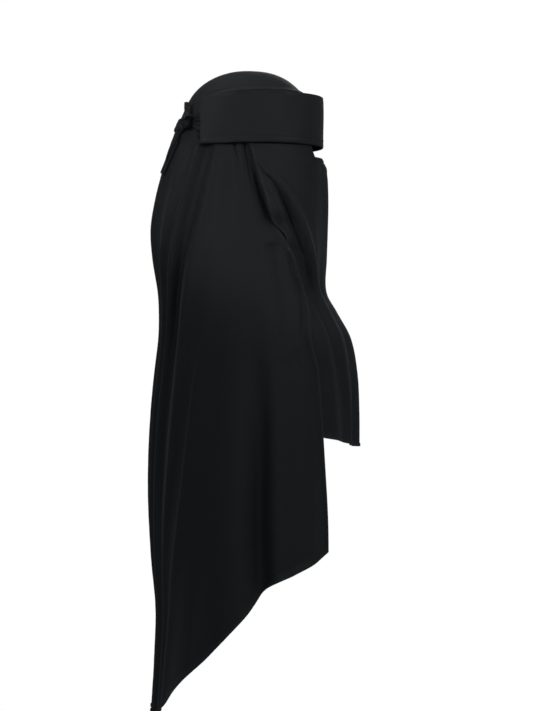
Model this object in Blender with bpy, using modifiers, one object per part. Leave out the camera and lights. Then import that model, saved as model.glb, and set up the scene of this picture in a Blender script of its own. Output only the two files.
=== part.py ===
"""A black chiffon headscarf in the form that it takes when worn, with a tied forehead band and a face veil.

Metres, +Z up. The face looks along -Y and the wearer's right side is -X. The origin is the inside of the
crown, where the top of the head bears on it.
"""

import math
from collections import namedtuple

import bmesh
import bpy
from mathutils import Vector

# Cloth
CLOTH_WALL = 0.0015
BAND_WALL = 0.003
LAYER_GAP = 0.0004
OVERLAP_GAP = 0.0009

# Head, measured to the inside of the scarf
CROWN_HEIGHT = 0.112
HEAD_HALF_WIDTH = 0.0865
HEAD_FRONT = 0.1065
HEAD_BACK = 0.115
BROW_FULLNESS = 0.77
CINCH_DEPTH = 0.0105
CINCH_DROP = 0.068
CINCH_SPREAD = 0.040

# Body under the scarf
SHOULDER_DROP = 0.330
SHOULDER_HALF_WIDTH = 0.215
CHEST_FRONT = 0.165
SEAT_BACK = 0.139
PLAN_SQUARENESS = 2.2

# Scarf: how far it hangs below the crown at the back and at its two front corners
SCARF_BACK_DROP = 0.955
SCARF_CORNER_DROP = 0.702
SCARF_BROW_DROP = 0.100
SCARF_FOLD = 0.010

# Forehead band, from the crown's top down
BAND_TOP_DROP = 0.041
BAND_HEIGHT = 0.071
BAND_END_DIP = 0.007
BAND_END_ANGLE = math.radians(50)

# Face veil
EYE_SLIT_HEIGHT = 0.020
EYE_SLIT_HALF_ANGLE = math.radians(27)
EYE_SLIT_END_ANGLE = math.radians(5)
FACE_VEIL_DROP = 0.560
FACE_VEIL_CORNER_LIFT = 0.025
FACE_VEIL_TUCK = 0.014
FACE_FOLD = 0.008
CROSSING_DROP = 0.258
CROSSING_REACH = 0.020
CROSSING_CLEAR = math.radians(0.8)
BROW_LAP = math.radians(8.5)
CROSSING_LAP = math.radians(2.0)
UNDER_LAP = math.radians(7)
OWN_FOLD_ANGLE = math.radians(8)
UNDER_DEPTH = 0.006

# Ties and their knot
KNOT_ANGLE = math.radians(36)
KNOT_DROP = 0.083
KNOT_HALF_WIDTH = 0.0180
KNOT_HALF_HEIGHT = 0.0120
KNOT_HALF_DEPTH = 0.0095
KNOT_TUCK = 0.8
STRAP_END_HEIGHT = 0.044
STRAP_KNOT_HEIGHT = 0.017
STRAP_TUCK_ANGLE = math.radians(7)
STRAP_BAND_DROP = 0.080
TAIL_LENGTH = 0.064
TAIL_WIDTH = 0.015
TAIL_DRIFT = 0.028
TAIL_ANGLE = math.radians(5)
STUB_LENGTH = 0.018
STUB_WIDTH = 0.010
STUB_DRIFT = 0.004
STUB_ANGLE = math.radians(9)

# Mesh
CURTAIN_COLUMNS = 62
BROW_COLUMNS = 12
CROWN_ROWS = 9
FACE_COLUMNS = 34
BAND_COLUMNS = 36

# Sections of the body from the head's widest ring (0) to the shoulder (1) and on down to the hem. Widths
# and depths are shares of the way from the head's size to the body's, and edge is how far forward the
# scarf's front edge lies, as a share of the front depth there.
Section = namedtuple("Section", "place half_width front back edge")
SECTIONS = (
    Section(0.00, 0.000, 0.02, 0.04, 0.141),
    Section(0.18, 0.100, 0.07, 0.39, 0.236),
    Section(0.37, 0.245, 0.09, 0.78, 0.323),
    Section(0.57, 0.430, 0.085, 1.02, 0.420),
    Section(0.77, 0.650, 0.08, 0.86, 0.591),
    Section(1.00, 0.885, 0.085, 0.49, 0.770),
    Section(1.15, 0.975, 0.38, 0.40, 0.750),
    Section(1.32, 1.025, 0.72, 0.42, 0.696),
    Section(1.55, 1.060, 0.88, 0.65, 0.673),
    Section(1.80, 1.095, 0.92, 0.86, 0.683),
    Section(2.10, 1.130, 0.91, 1.00, 0.697),
    Section(2.45, 1.165, 0.90, 1.01, 0.712),
    Section(2.80, 1.190, 0.90, 0.82, 0.719),
    Section(3.15, 1.205, 0.90, 0.52, 0.723),
    Section(3.50, 1.220, 0.90, 0.59, 0.723),
    Section(3.90, 1.235, 0.90, 0.77, 0.723),
)

# Rows of the hanging cloths, as shares of the way from the brow to the hem: closer together under the band
# and where the two cloths cross
SCARF_ROWS = (
    0, 0.014, 0.032, 0.055, 0.085, 0.12, 0.155, 0.19, 0.22, 0.242, 0.264, 0.29,
    0.33, 0.385, 0.45, 0.53, 0.62, 0.71, 0.80, 0.90, 1,
)
FACE_ROWS = (
    0, 0.034, 0.075, 0.12, 0.165, 0.21, 0.26, 0.30, 0.325, 0.35, 0.375, 0.40, 0.43, 0.47,
    0.53, 0.61, 0.70, 0.80, 0.90, 1,
)

# How far the hem has risen from its back to its front corner, against the share of the way round
HemRow = namedtuple("HemRow", "way rise")
HEM = (
    HemRow(0.00, 0.00),
    HemRow(0.20, 0.03),
    HemRow(0.42, 0.18),
    HemRow(0.57, 0.36),
    HemRow(0.67, 0.47),
    HemRow(0.75, 0.65),
    HemRow(0.79, 0.77),
    HemRow(0.85, 0.86),
    HemRow(0.95, 0.945),
    HemRow(1.00, 1.00),
)

# Folds of the scarf, as angles and heights at the band, the shoulder, the waist and the hem. Angles are
# degrees from the middle of the back, positive to the wearer's right. Heights are shares of SCARF_FOLD,
# below zero for a valley. Spread is the half width of the fold in degrees.
FOLD_PLACES = (0.0, 0.25, 0.6, 1.0)
FoldLine = namedtuple("FoldLine", "band shoulder waist hem")
Fold = namedtuple("Fold", "angle height spread")
SCARF_FOLDS = (
    Fold(FoldLine(103, 113, 114, 113), FoldLine(0.00, 0.30, 0.35, 0.50), 4.2),
    Fold(FoldLine(98, 106, 106, 104), FoldLine(0.00, -0.25, -0.15, -0.30), 3.8),
    Fold(FoldLine(92, 93, 95, 94), FoldLine(-0.35, -0.10, -0.85, -1.00), 4.6),
    Fold(FoldLine(85, 85, 85, 82), FoldLine(0.30, 0.10, 0.45, 0.50), 6.0),
    Fold(FoldLine(78, 84, 78, 72), FoldLine(-0.55, 0.00, 0.00, -0.25), 3.2),
    Fold(FoldLine(71, 75, 63.5, 43), FoldLine(0.35, 0.10, 0.50, 0.50), 3.8),
    Fold(FoldLine(67, 68, 59, 39.5), FoldLine(-0.05, -0.10, -0.45, -0.50), 3.2),
    Fold(FoldLine(63, 61, 54, 36), FoldLine(0.30, 0.75, 0.65, 0.60), 4.2),
    Fold(FoldLine(55, 55, 47.5, 30), FoldLine(-0.40, -0.60, -0.50, -0.50), 4.0),
    Fold(FoldLine(45, 48, 38, 22), FoldLine(0.20, 0.50, 0.45, 0.70), 4.2),
    Fold(FoldLine(40, 42, 32, 17), FoldLine(-0.20, -0.30, -0.40, -0.50), 3.8),
    Fold(FoldLine(34, 36.5, 26, 11), FoldLine(0.20, 0.45, 0.50, 0.90), 4.2),
    Fold(FoldLine(25, 27, 17, 2), FoldLine(-0.25, -0.45, -0.50, -0.70), 4.8),
    Fold(FoldLine(14, 15, 8, -7), FoldLine(0.25, 0.50, 0.65, 1.00), 5.0),
    Fold(FoldLine(3, 2, -3, -18), FoldLine(-0.25, -0.50, -0.50, -0.80), 4.8),
    Fold(FoldLine(-9, -11, -15, -28), FoldLine(0.20, 0.60, 0.70, 1.05), 5.4),
    Fold(FoldLine(-21, -25, -28, -39), FoldLine(-0.20, -0.40, -0.45, -0.75), 4.6),
    Fold(FoldLine(-34, -39, -41, -50), FoldLine(0.25, 0.55, 0.60, 0.95), 5.0),
    Fold(FoldLine(-47, -51, -53, -61), FoldLine(-0.25, -0.35, -0.40, -0.60), 4.8),
    Fold(FoldLine(-61, -64, -66, -72), FoldLine(0.20, 0.50, 0.55, 0.80), 5.6),
    Fold(FoldLine(-74, -77, -80, -84), FoldLine(-0.35, -0.25, -0.30, -0.60), 4.4),
    Fold(FoldLine(-84, -88, -91, -95), FoldLine(0.25, 0.35, 0.35, 0.70), 5.6),
    Fold(FoldLine(-94, -99, -102, -106), FoldLine(-0.25, -0.30, -0.30, -0.50), 4.6),
)

# Folds of the face veil, with heights as shares of FACE_FOLD: 180 is the middle of the face, and more is
# the wearer's left.
FACE_FOLDS = (
    Fold(FoldLine(180, 180, 180, 180), FoldLine(0.95, 1.00, 0.60, 0.00), 13.0),
    Fold(FoldLine(98, 124, 140, 148), FoldLine(0.60, 0.80, 0.50, 0.20), 5.0),
    Fold(FoldLine(94, 117, 131, 138), FoldLine(-0.20, -0.75, -0.60, -0.30), 4.6),
    Fold(FoldLine(260, 241, 228, 220), FoldLine(0.40, 0.70, 0.50, 0.20), 5.5),
    Fold(FoldLine(264, 249, 238, 231), FoldLine(-0.20, -0.50, -0.40, -0.20), 5.0),
    Fold(FoldLine(152, 152, 152, 152), FoldLine(0.00, 0.00, -0.45, -0.70), 6.0),
    Fold(FoldLine(165, 164, 164, 163), FoldLine(0.00, 0.00, 0.45, 0.90), 5.5),
    Fold(FoldLine(178, 178, 178, 178), FoldLine(0.00, 0.00, -0.30, -0.60), 5.5),
    Fold(FoldLine(194, 194, 193, 193), FoldLine(0.00, 0.00, 0.40, 0.95), 6.0),
    Fold(FoldLine(208, 208, 207, 207), FoldLine(0.00, 0.00, -0.40, -0.75), 6.5),
)

# Black crepe chiffon, a little cooler on the band, and its sheen
SCARF_COLOUR = (0.014, 0.015, 0.017, 1.0)
FACE_VEIL_COLOUR = (0.015, 0.016, 0.018, 1.0)
BAND_COLOUR = (0.017, 0.018, 0.020, 1.0)
TIE_COLOUR = (0.013, 0.014, 0.016, 1.0)
CLOTH_ROUGHNESS = 0.78
BAND_ROUGHNESS = 0.72


def smooth_value(places, values, at):
    """The value at a place on one smooth curve through a table's rows."""
    at = min(max(at, places[0]), places[-1])
    k = max(i for i in range(len(places) - 1) if places[i] <= at)

    def slope(i):
        low, high = max(i - 1, 0), min(i + 1, len(places) - 1)
        return (values[high] - values[low]) / (places[high] - places[low])

    span = places[k + 1] - places[k]
    t = (at - places[k]) / span
    start, end = values[k], values[k + 1]
    rise = slope(k) * span
    fall = slope(k + 1) * span
    return (
        start * (2 * t**3 - 3 * t**2 + 1)
        + rise * (t**3 - 2 * t**2 + t)
        + end * (3 * t**2 - 2 * t**3)
        + fall * (t**3 - t**2)
    )


def column(rows, name):
    return [getattr(row, name) for row in rows]


def ease(value):
    """0 below 0, 1 above 1, and a smooth step between."""
    value = min(max(value, 0.0), 1.0)
    return value * value * (3 - 2 * value)


def section_value(name, drop):
    place = (drop - CROWN_HEIGHT) / (SHOULDER_DROP - CROWN_HEIGHT)
    return smooth_value(column(SECTIONS, "place"), column(SECTIONS, name), place)


def plan_sizes(drop):
    """Half width, front depth and back depth of what the cloth lies on, that far below the crown's top."""
    if drop < CROWN_HEIGHT:
        share = math.sqrt(max(0.0, 1 - ((CROWN_HEIGHT - drop) / CROWN_HEIGHT) ** 2))
        ring = section_value("back", CROWN_HEIGHT) * (SEAT_BACK - HEAD_BACK)
        return HEAD_HALF_WIDTH * share**0.9, HEAD_FRONT * share**BROW_FULLNESS, (HEAD_BACK + ring) * share
    half_width = HEAD_HALF_WIDTH + section_value("half_width", drop) * (SHOULDER_HALF_WIDTH - HEAD_HALF_WIDTH)
    front = HEAD_FRONT + section_value("front", drop) * (CHEST_FRONT - HEAD_FRONT)
    back = HEAD_BACK + section_value("back", drop) * (SEAT_BACK - HEAD_BACK)
    return half_width, front, back


def plan_radius(angle, drop):
    """Distance from the vertical through the origin to the plan curve, at an angle from the back's middle."""
    half_width, front, back = plan_sizes(drop)
    depth = back if math.cos(angle) > 0 else front
    if min(half_width, depth) <= 0:
        return 0.0
    across = abs(math.sin(angle) / half_width) ** PLAN_SQUARENESS
    along = abs(math.cos(angle) / depth) ** PLAN_SQUARENESS
    return (across + along) ** (-1 / PLAN_SQUARENESS)


def edge_angle(drop):
    """Angle of the scarf's front edge from the middle of the back."""
    drop = max(drop, CROWN_HEIGHT)
    half_width, front, _ = plan_sizes(drop)
    forward = section_value("edge", drop)
    sideways = half_width * (1 - forward**PLAN_SQUARENESS) ** (1 / PLAN_SQUARENESS)
    return math.pi / 2 + math.atan2(forward * front, sideways)


def fold_height(folds, angle, share):
    """Sum of the folds at an angle, a share of the way from the band to the hem."""
    total = 0.0
    for fold in folds:
        centre = smooth_value(FOLD_PLACES, fold.angle, share)
        height = smooth_value(FOLD_PLACES, fold.height, share)
        away = (math.degrees(angle) - centre + 180) % 360 - 180
        total += height * math.exp(-((away / fold.spread) ** 2))
    return total


def hem_drop(angle):
    way = abs(angle) / edge_angle(SCARF_CORNER_DROP)
    rise = smooth_value(column(HEM, "way"), column(HEM, "rise"), way)
    return SCARF_BACK_DROP - rise * (SCARF_BACK_DROP - SCARF_CORNER_DROP)


def band_bottom():
    return BAND_TOP_DROP + BAND_HEIGHT


def scarf_lift(angle, drop):
    """How far the scarf's folds and the pull of its ties move it outwards."""
    way = (angle + math.pi) % (2 * math.pi) - math.pi
    share = (drop - band_bottom()) / (SCARF_BACK_DROP - band_bottom())
    behind = ease((BAND_END_ANGLE - abs(way)) / math.radians(25))
    start = band_bottom() - behind * (band_bottom() - KNOT_DROP) * 0.6
    grown = ease((drop - start) / EYE_SLIT_HEIGHT)
    folds = SCARF_FOLD * grown * fold_height(SCARF_FOLDS, way, max(share, 0.0))
    cinch = math.exp(-(((drop - CINCH_DROP) / CINCH_SPREAD) ** 2)) * max(0.0, math.cos(way)) ** 2
    return folds - CINCH_DEPTH * cinch


def body_point(angle, drop, lift):
    """A point of the plan curve, moved outwards by lift in plan."""
    radius = plan_radius(angle, drop) + lift(angle, drop)
    return Vector((-radius * math.sin(angle), radius * math.cos(angle), -drop))


def lifted_point(angle, drop, lift, clear):
    """A point of the folded cloth, moved clear of it along its normal."""
    step = 0.0005
    if drop < step:
        return Vector((0, 0, clear - drop))
    turn = body_point(angle + step, drop, lift) - body_point(angle - step, drop, lift)
    fall = body_point(angle, drop + step, lift) - body_point(angle, drop - step, lift)
    return body_point(angle, drop, lift) + clear * fall.cross(turn).normalized()


def scarf_point(angle, drop, clear=0.0):
    return lifted_point(angle, drop, scarf_lift, clear)


def cloth_material(name, colour, roughness):
    material = bpy.data.materials.new(name)
    material.use_nodes = True
    shader = material.node_tree.nodes["Principled BSDF"]
    shader.inputs["Base Color"].default_value = colour
    shader.inputs["Roughness"].default_value = roughness
    shader.inputs["Metallic"].default_value = 0.0
    material.diffuse_color = colour
    return material


def add_object(name, mesh, material, collection):
    obj = bpy.data.objects.new(name, mesh)
    collection.objects.link(obj)
    mesh.materials.append(material)
    mesh.shade_smooth()
    return obj


def grid_mesh(name, columns, rows, place, drop_face=None):
    """A grid primitive, each point moved to place(column, row), with row 0 at the top."""
    bm = bmesh.new()
    bmesh.ops.create_grid(bm, x_segments=columns, y_segments=rows, size=1)
    spots = {}
    for vert in bm.verts:
        spots[vert] = (round((vert.co.x + 1) / 2 * columns), round((1 - vert.co.y) / 2 * rows))
    if drop_face:
        unwanted = []
        for face in bm.faces:
            low_column = min(spots[vert][0] for vert in face.verts)
            low_row = min(spots[vert][1] for vert in face.verts)
            if drop_face(low_column, low_row):
                unwanted.append(face)
        bmesh.ops.delete(bm, geom=unwanted, context="FACES")
    for vert in bm.verts:
        vert.co = place(*spots[vert])
    bmesh.ops.remove_doubles(bm, verts=bm.verts, dist=0.00001)
    mesh = bpy.data.meshes.new(name)
    bm.to_mesh(mesh)
    bm.free()
    return mesh


def give_wall(obj, wall):
    """Turns an open sheet into cloth of that thickness, growing outwards."""
    solidify = obj.modifiers.new("Wall", "SOLIDIFY")
    solidify.thickness = wall
    solidify.offset = 1
    solidify.use_even_offset = True


def make_scarf(collection):
    """One cloth: a closed crown, and a curtain that hangs open in front."""
    first_angle = edge_angle(CROWN_HEIGHT)
    crown_turn = math.acos(1 - SCARF_BROW_DROP / CROWN_HEIGHT)

    def place(at_column, at_row):
        if at_row <= CROWN_ROWS:
            drop = CROWN_HEIGHT * (1 - math.cos(crown_turn * at_row / CROWN_ROWS))
            if at_column <= CURTAIN_COLUMNS:
                angle = first_angle * (2 * at_column / CURTAIN_COLUMNS - 1)
            else:
                way = (at_column - CURTAIN_COLUMNS) / BROW_COLUMNS
                angle = first_angle + way * 2 * (math.pi - first_angle)
            return scarf_point(angle, drop)
        way = 2 * at_column / CURTAIN_COLUMNS - 1
        hem = hem_drop(way * edge_angle(SCARF_CORNER_DROP))
        drop = SCARF_BROW_DROP + SCARF_ROWS[at_row - CROWN_ROWS] * (hem - SCARF_BROW_DROP)
        return scarf_point(way * edge_angle(drop), drop)

    def over_face(low_column, low_row):
        return low_column >= CURTAIN_COLUMNS and low_row >= CROWN_ROWS

    columns = CURTAIN_COLUMNS + BROW_COLUMNS
    rows = CROWN_ROWS + len(SCARF_ROWS) - 1
    mesh = grid_mesh("head_scarf", columns, rows, place, over_face)
    material = cloth_material("scarf_chiffon", SCARF_COLOUR, CLOTH_ROUGHNESS)
    scarf = add_object("head_scarf", mesh, material, collection)
    give_wall(scarf, CLOTH_WALL)
    return scarf


def rear_layer(drop):
    """Clearance of the face veil's rear from the scarf: outside above the crossing, and inside below."""
    over = CLOTH_WALL + OVERLAP_GAP
    under = -(CLOTH_WALL + UNDER_DEPTH)
    crossed = ease((drop - CROSSING_DROP + CROSSING_REACH / 2) / CROSSING_REACH)
    return over + crossed * (under - over)


def face_edge_angle(drop):
    """Angle of the face veil's rear edge: it laps the scarf's edge but at the crossing, where it clears it."""
    above = min(max((CROSSING_DROP - drop) / (CROSSING_DROP - CROWN_HEIGHT), 0.0), 1.0)
    parted = ease((CROSSING_DROP - drop) / CROSSING_REACH - 0.5)
    below = ease((drop - CROSSING_DROP) / CROSSING_REACH - 0.5)
    lap = parted * (CROSSING_LAP + above * (BROW_LAP - CROSSING_LAP)) + below * UNDER_LAP
    return edge_angle(drop) + CROSSING_CLEAR - lap


def face_top_drop(angle):
    """The veil's top edge is tucked up behind the band, and dips below the eyes in front."""
    off_middle = abs(angle - math.pi)
    tucked = ease((off_middle - EYE_SLIT_HALF_ANGLE) / EYE_SLIT_END_ANGLE)
    return band_bottom() + EYE_SLIT_HEIGHT - tucked * (EYE_SLIT_HEIGHT + FACE_VEIL_TUCK)


def face_point(angle, drop):
    """The face veil lies on the scarf near its rear edges and has folds of its own towards the front."""
    from_edge = min(angle, 2 * math.pi - angle) - edge_angle(drop)
    own = ease((from_edge - CROSSING_CLEAR) / OWN_FOLD_ANGLE - 0.3)
    share = (drop - band_bottom()) / (FACE_VEIL_DROP - band_bottom())

    def lift(at_angle, at_drop):
        folds = FACE_FOLD * fold_height(FACE_FOLDS, at_angle, min(max(share, 0.0), 1.0))
        grown = ease((at_drop - band_bottom()) / EYE_SLIT_HEIGHT - 0.8)
        return scarf_lift(at_angle, at_drop) * (1 - own) + own * grown * folds

    return lifted_point(angle, drop, lift, rear_layer(drop) * (1 - own) + (CLOTH_WALL + LAYER_GAP) * own)


def make_face_veil(collection):
    top_edge = face_edge_angle(CROWN_HEIGHT)

    def place(at_column, at_row):
        way = 2 * at_column / FACE_COLUMNS - 1
        top = face_top_drop(math.pi + way * (math.pi - top_edge))
        bottom = FACE_VEIL_DROP - FACE_VEIL_CORNER_LIFT * way**2
        drop = top + FACE_ROWS[at_row] * (bottom - top)
        return face_point(math.pi + way * (math.pi - face_edge_angle(drop)), drop)

    mesh = grid_mesh("face_veil", FACE_COLUMNS, len(FACE_ROWS) - 1, place)
    material = cloth_material("face_veil_chiffon", FACE_VEIL_COLOUR, CLOTH_ROUGHNESS)
    give_wall(add_object("face_veil", mesh, material, collection), CLOTH_WALL)


def make_band(collection):
    """A flat strip bent round the forehead, upright, outside both layers of cloth."""
    inner = 2 * CLOTH_WALL + LAYER_GAP + OVERLAP_GAP
    lowest = band_bottom() + BAND_END_DIP / 2

    def place(at_column, at_row):
        way = 2 * at_column / BAND_COLUMNS - 1
        angle = math.pi + way * (math.pi - BAND_END_ANGLE)
        radius = plan_radius(angle, lowest) + inner
        dip = BAND_END_DIP * abs(way) ** 6
        drop = BAND_TOP_DROP + dip if at_row == 0 else band_bottom() + dip / 3
        return Vector((-radius * math.sin(angle), radius * math.cos(angle), -drop))

    mesh = grid_mesh("forehead_band", BAND_COLUMNS, 1, place)
    material = cloth_material("band_crepe", BAND_COLOUR, BAND_ROUGHNESS)
    give_wall(add_object("forehead_band", mesh, material, collection), BAND_WALL)


def knot_reach():
    """Half of the angle that the knot takes up where the straps meet it."""
    radius = plan_radius(KNOT_ANGLE, KNOT_DROP)
    return KNOT_HALF_WIDTH * KNOT_TUCK / radius


def lay_on(obj, scarf):
    """Lets a tie lie on the scarf's outside, and gives it its wall."""
    wrap = obj.modifiers.new("Lie on scarf", "SHRINKWRAP")
    wrap.target = scarf
    wrap.wrap_method = "NEAREST_SURFACEPOINT"
    wrap.wrap_mode = "ABOVE_SURFACE"
    wrap.offset = OVERLAP_GAP
    give_wall(obj, CLOTH_WALL)


def make_strap(name, side, scarf, material, collection):
    """A tie from under the band's end to the knot, gathered to the knot's height."""
    strap_columns = 8 if side > 0 else 20
    strap_rows = 4
    band_end = side * (BAND_END_ANGLE + STRAP_TUCK_ANGLE)
    knot_end = KNOT_ANGLE + side * knot_reach()

    def place(at_column, at_row):
        way = at_column / strap_columns
        if side > 0:
            way = 1 - way
        height = STRAP_END_HEIGHT + ease(way) * (STRAP_KNOT_HEIGHT - STRAP_END_HEIGHT)
        middle = STRAP_BAND_DROP + way * (KNOT_DROP - STRAP_BAND_DROP)
        drop = middle + height * (at_row / strap_rows - 0.5)
        return scarf_point(band_end + way * (knot_end - band_end), drop, CLOTH_WALL)

    mesh = grid_mesh(name, strap_columns, strap_rows, place)
    lay_on(add_object(name, mesh, material, collection), scarf)


def knot_frame():
    """The knot's centre, and its directions along the strap, up, and out from the head."""
    base = scarf_point(KNOT_ANGLE, KNOT_DROP, CLOTH_WALL + LAYER_GAP)
    out = (scarf_point(KNOT_ANGLE, KNOT_DROP, 1.0) - scarf_point(KNOT_ANGLE, KNOT_DROP)).normalized()
    across = out.cross(Vector((0, 0, 1))).normalized()
    return base + out * KNOT_HALF_DEPTH, across, across.cross(out), out


def make_knot(material, collection):
    """A wrapped lump, pinched where one tie crosses the other."""
    centre, across, up, out = knot_frame()
    bm = bmesh.new()
    bmesh.ops.create_uvsphere(bm, u_segments=16, v_segments=8, radius=1)
    for vert in bm.verts:
        unit = vert.co.normalized()
        crossing = math.exp(-(((unit.x + unit.z * 0.8) / 0.30) ** 2))
        swell = 1 - 0.14 * crossing * max(0.0, unit.y)
        place = centre + across * (unit.x * KNOT_HALF_WIDTH * swell)
        place += up * (unit.z * KNOT_HALF_HEIGHT * swell)
        vert.co = place + out * (unit.y * KNOT_HALF_DEPTH * swell)
    mesh = bpy.data.meshes.new("back_knot")
    bm.to_mesh(mesh)
    bm.free()
    add_object("back_knot", mesh, material, collection)


def make_tail(name, length, width, downwards, off_knot, drift, scarf, material, collection):
    """A loose tie end that leaves the knot, up or down, and drifts rearwards on the scarf."""
    tail_columns = 3
    tail_rows = 8
    start = KNOT_DROP + downwards * KNOT_HALF_HEIGHT * KNOT_TUCK

    def place(at_column, at_row):
        share = at_row / tail_rows
        drop = start + downwards * share * length
        radius = plan_radius(KNOT_ANGLE, drop)
        across = downwards * width * (at_column / tail_columns - 0.5) * (0.75 + 0.25 * share)
        angle = KNOT_ANGLE - off_knot + (across - drift * share) / radius
        return scarf_point(angle, drop, CLOTH_WALL)

    mesh = grid_mesh(name, tail_columns, tail_rows, place)
    lay_on(add_object(name, mesh, material, collection), scarf)


def main():
    for obj in list(bpy.data.objects):
        bpy.data.objects.remove(obj)
    collection = bpy.data.collections.new("chiffon_headscarf")
    bpy.context.scene.collection.children.link(collection)
    scarf = make_scarf(collection)
    make_face_veil(collection)
    make_band(collection)
    ties = cloth_material("tie_crepe", TIE_COLOUR, CLOTH_ROUGHNESS)
    make_strap("tie_strap_right", 1, scarf, ties, collection)
    make_strap("tie_strap_left", -1, scarf, ties, collection)
    make_knot(ties, collection)
    make_tail("tie_tail_long", TAIL_LENGTH, TAIL_WIDTH, 1, TAIL_ANGLE, TAIL_DRIFT, scarf, ties, collection)
    make_tail("tie_tail_short", STUB_LENGTH, STUB_WIDTH, -1, STUB_ANGLE, STUB_DRIFT, scarf, ties, collection)


main()
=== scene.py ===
"""The looks of a black chiffon headscarf with a face veil and a tied forehead band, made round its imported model.

Metres, +Z up. The front is -Y and the right side, as worn, is -X. The origin is the inside of the crown. Angles
go round from the middle of the back, positive to the right side, and a drop is a distance below the crown.
"""

import math
from collections import namedtuple

import bpy
import numpy as np
from bpy.props import FloatProperty, FloatVectorProperty, IntProperty, PointerProperty
from bpy.types import Operator, Panel, PropertyGroup
from mathutils import Matrix, Vector


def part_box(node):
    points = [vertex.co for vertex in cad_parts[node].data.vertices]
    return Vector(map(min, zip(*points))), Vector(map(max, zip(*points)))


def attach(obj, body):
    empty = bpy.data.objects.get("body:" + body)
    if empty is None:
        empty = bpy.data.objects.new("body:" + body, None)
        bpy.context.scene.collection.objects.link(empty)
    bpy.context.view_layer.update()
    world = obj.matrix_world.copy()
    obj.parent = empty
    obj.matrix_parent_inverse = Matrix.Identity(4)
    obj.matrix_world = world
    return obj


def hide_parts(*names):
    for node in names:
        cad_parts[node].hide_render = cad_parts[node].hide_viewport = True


bl_info = {
    "name": "Chiffon headscarf",
    "version": (1, 0, 0),
    "blender": (4, 5, 0),
    "location": "3D View > Sidebar > Headscarf",
    "description": "Dresses the packed headscarf in draped chiffon, a stitched band and tied ends",
    "category": "Object",
}

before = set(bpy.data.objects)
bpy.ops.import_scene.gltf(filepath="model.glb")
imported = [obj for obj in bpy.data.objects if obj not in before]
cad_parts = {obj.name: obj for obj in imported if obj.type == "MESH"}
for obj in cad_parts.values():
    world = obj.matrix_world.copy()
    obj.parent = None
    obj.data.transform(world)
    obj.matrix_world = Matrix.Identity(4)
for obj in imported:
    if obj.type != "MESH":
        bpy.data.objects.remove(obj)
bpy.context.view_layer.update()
_, BAND_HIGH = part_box("forehead_band")
SCARF_LOW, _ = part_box("head_scarf")

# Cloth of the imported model, and the gaps between its layers
CLOTH_WALL = 0.0015
BAND_WALL = 0.003
LAYER_GAP = 0.0004
OVERLAP_GAP = 0.0009

# Crown and brow, measured to the inside of the scarf
CROWN_HEIGHT = 0.112
HEAD_HALF_WIDTH = 0.0865
HEAD_FRONT = 0.1065
HEAD_BACK = 0.115
BROW_FULLNESS = 0.77
CINCH_DEPTH = 0.0105
CINCH_DROP = 0.068
CINCH_SPREAD = 0.040

# Form that the scarf hangs in below them
SHOULDER_DROP = 0.330
SHOULDER_HALF_WIDTH = 0.215
CHEST_FRONT = 0.165
SEAT_BACK = 0.139
PLAN_SQUARENESS = 2.2

# Scarf
SCARF_BACK_DROP = -SCARF_LOW.z
SCARF_CORNER_DROP = 0.702
SCARF_BROW_DROP = 0.100
SCARF_FOLD = 0.010

# Forehead band
BAND_TOP_DROP = -BAND_HIGH.z
BAND_HEIGHT = 0.071
BAND_BOTTOM_DROP = BAND_TOP_DROP + BAND_HEIGHT
BAND_END_DIP = 0.007
BAND_TOP_DIP = 0.0100
BAND_BULGE = 0.0042
BAND_BULGE_RISE = 0.0052
BAND_BULGE_REACH = 0.0030
BAND_TOP_RISE = 0.0016
BAND_EDGE_DROP = 0.0022
BAND_END_ANGLE = math.radians(50)
BAND_LENGTH = 0.5
BAND_SEWN_LENGTH = 0.48
BAND_COLUMNS = 220
BAND_STEP = 0.001

# Face veil
EYE_SLIT_HEIGHT = 0.020
EYE_SLIT_HALF_ANGLE = math.radians(27)
EYE_SLIT_END_ANGLE = math.radians(5)
FACE_VEIL_DROP = 0.560
FACE_VEIL_CORNER_LIFT = 0.025
FACE_VEIL_TUCK = 0.014
FACE_FOLD = 0.008
CROSSING_DROP = 0.264
CROSSING_REACH = 0.020
CROSSING_CLEAR = math.radians(0.8)
BROW_LAP = math.radians(8.5)
CROSSING_LAP = math.radians(2.0)
UNDER_LAP = math.radians(7)
OWN_FOLD_ANGLE = math.radians(8)
UNDER_DEPTH = 0.006
VEIL_FLAT_ANGLE = math.radians(6)
BRIDGE_DROP = 0.212
BRIDGE_REACH = 0.034

# Ties and their knot
KNOT_ANGLE = math.radians(36)
KNOT_DROP = 0.083
KNOT_HALF_WIDTH = 0.0180
KNOT_HALF_HEIGHT = 0.0120
KNOT_HALF_DEPTH = 0.0095
KNOT_TUCK = 0.8
KNOT_FACETS = (((-0.35, 0.45, 0.82), 0.0072), ((0.45, 0.30, 0.84), 0.0076), ((-0.60, -0.30, 0.74), 0.0066),
               ((0.25, -0.70, 0.66), 0.0088), ((-0.90, 0.35, 0.25), 0.0052))
STRAP_END_HEIGHT = 0.062
STRAP_KNOT_HEIGHT = 0.017
STRAP_TUCK_ANGLE = math.radians(7)
STRAP_RIGHT_END = math.radians(37.6)
STRAP_LEFT_END = math.radians(31.0)
STRAP_BAND_DROP = 0.078
# Ends of the ties: name, flat size, length, width, 1 to hang down or -1 to stand up, path as shares of the length
# and degrees, height of the fold and how far the end stands off the scarf
TIE_ENDS = (
    ("long", (0.014, 0.072), 0.065, 0.0095, 1,
     ((0.0, 29.0), (0.2, 23.4), (0.4, 20.6), (0.6, 18.8), (0.8, 17.6), (1.0, 16.6)), 0.0030, 0.0),
    ("short", (0.018, 0.030), 0.0215, 0.017, -1,
     ((0.0, 30.0), (0.4, 27.0), (0.7, 24.6), (1.0, 22.0)), 0.0022, 0.0050),
)

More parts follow.
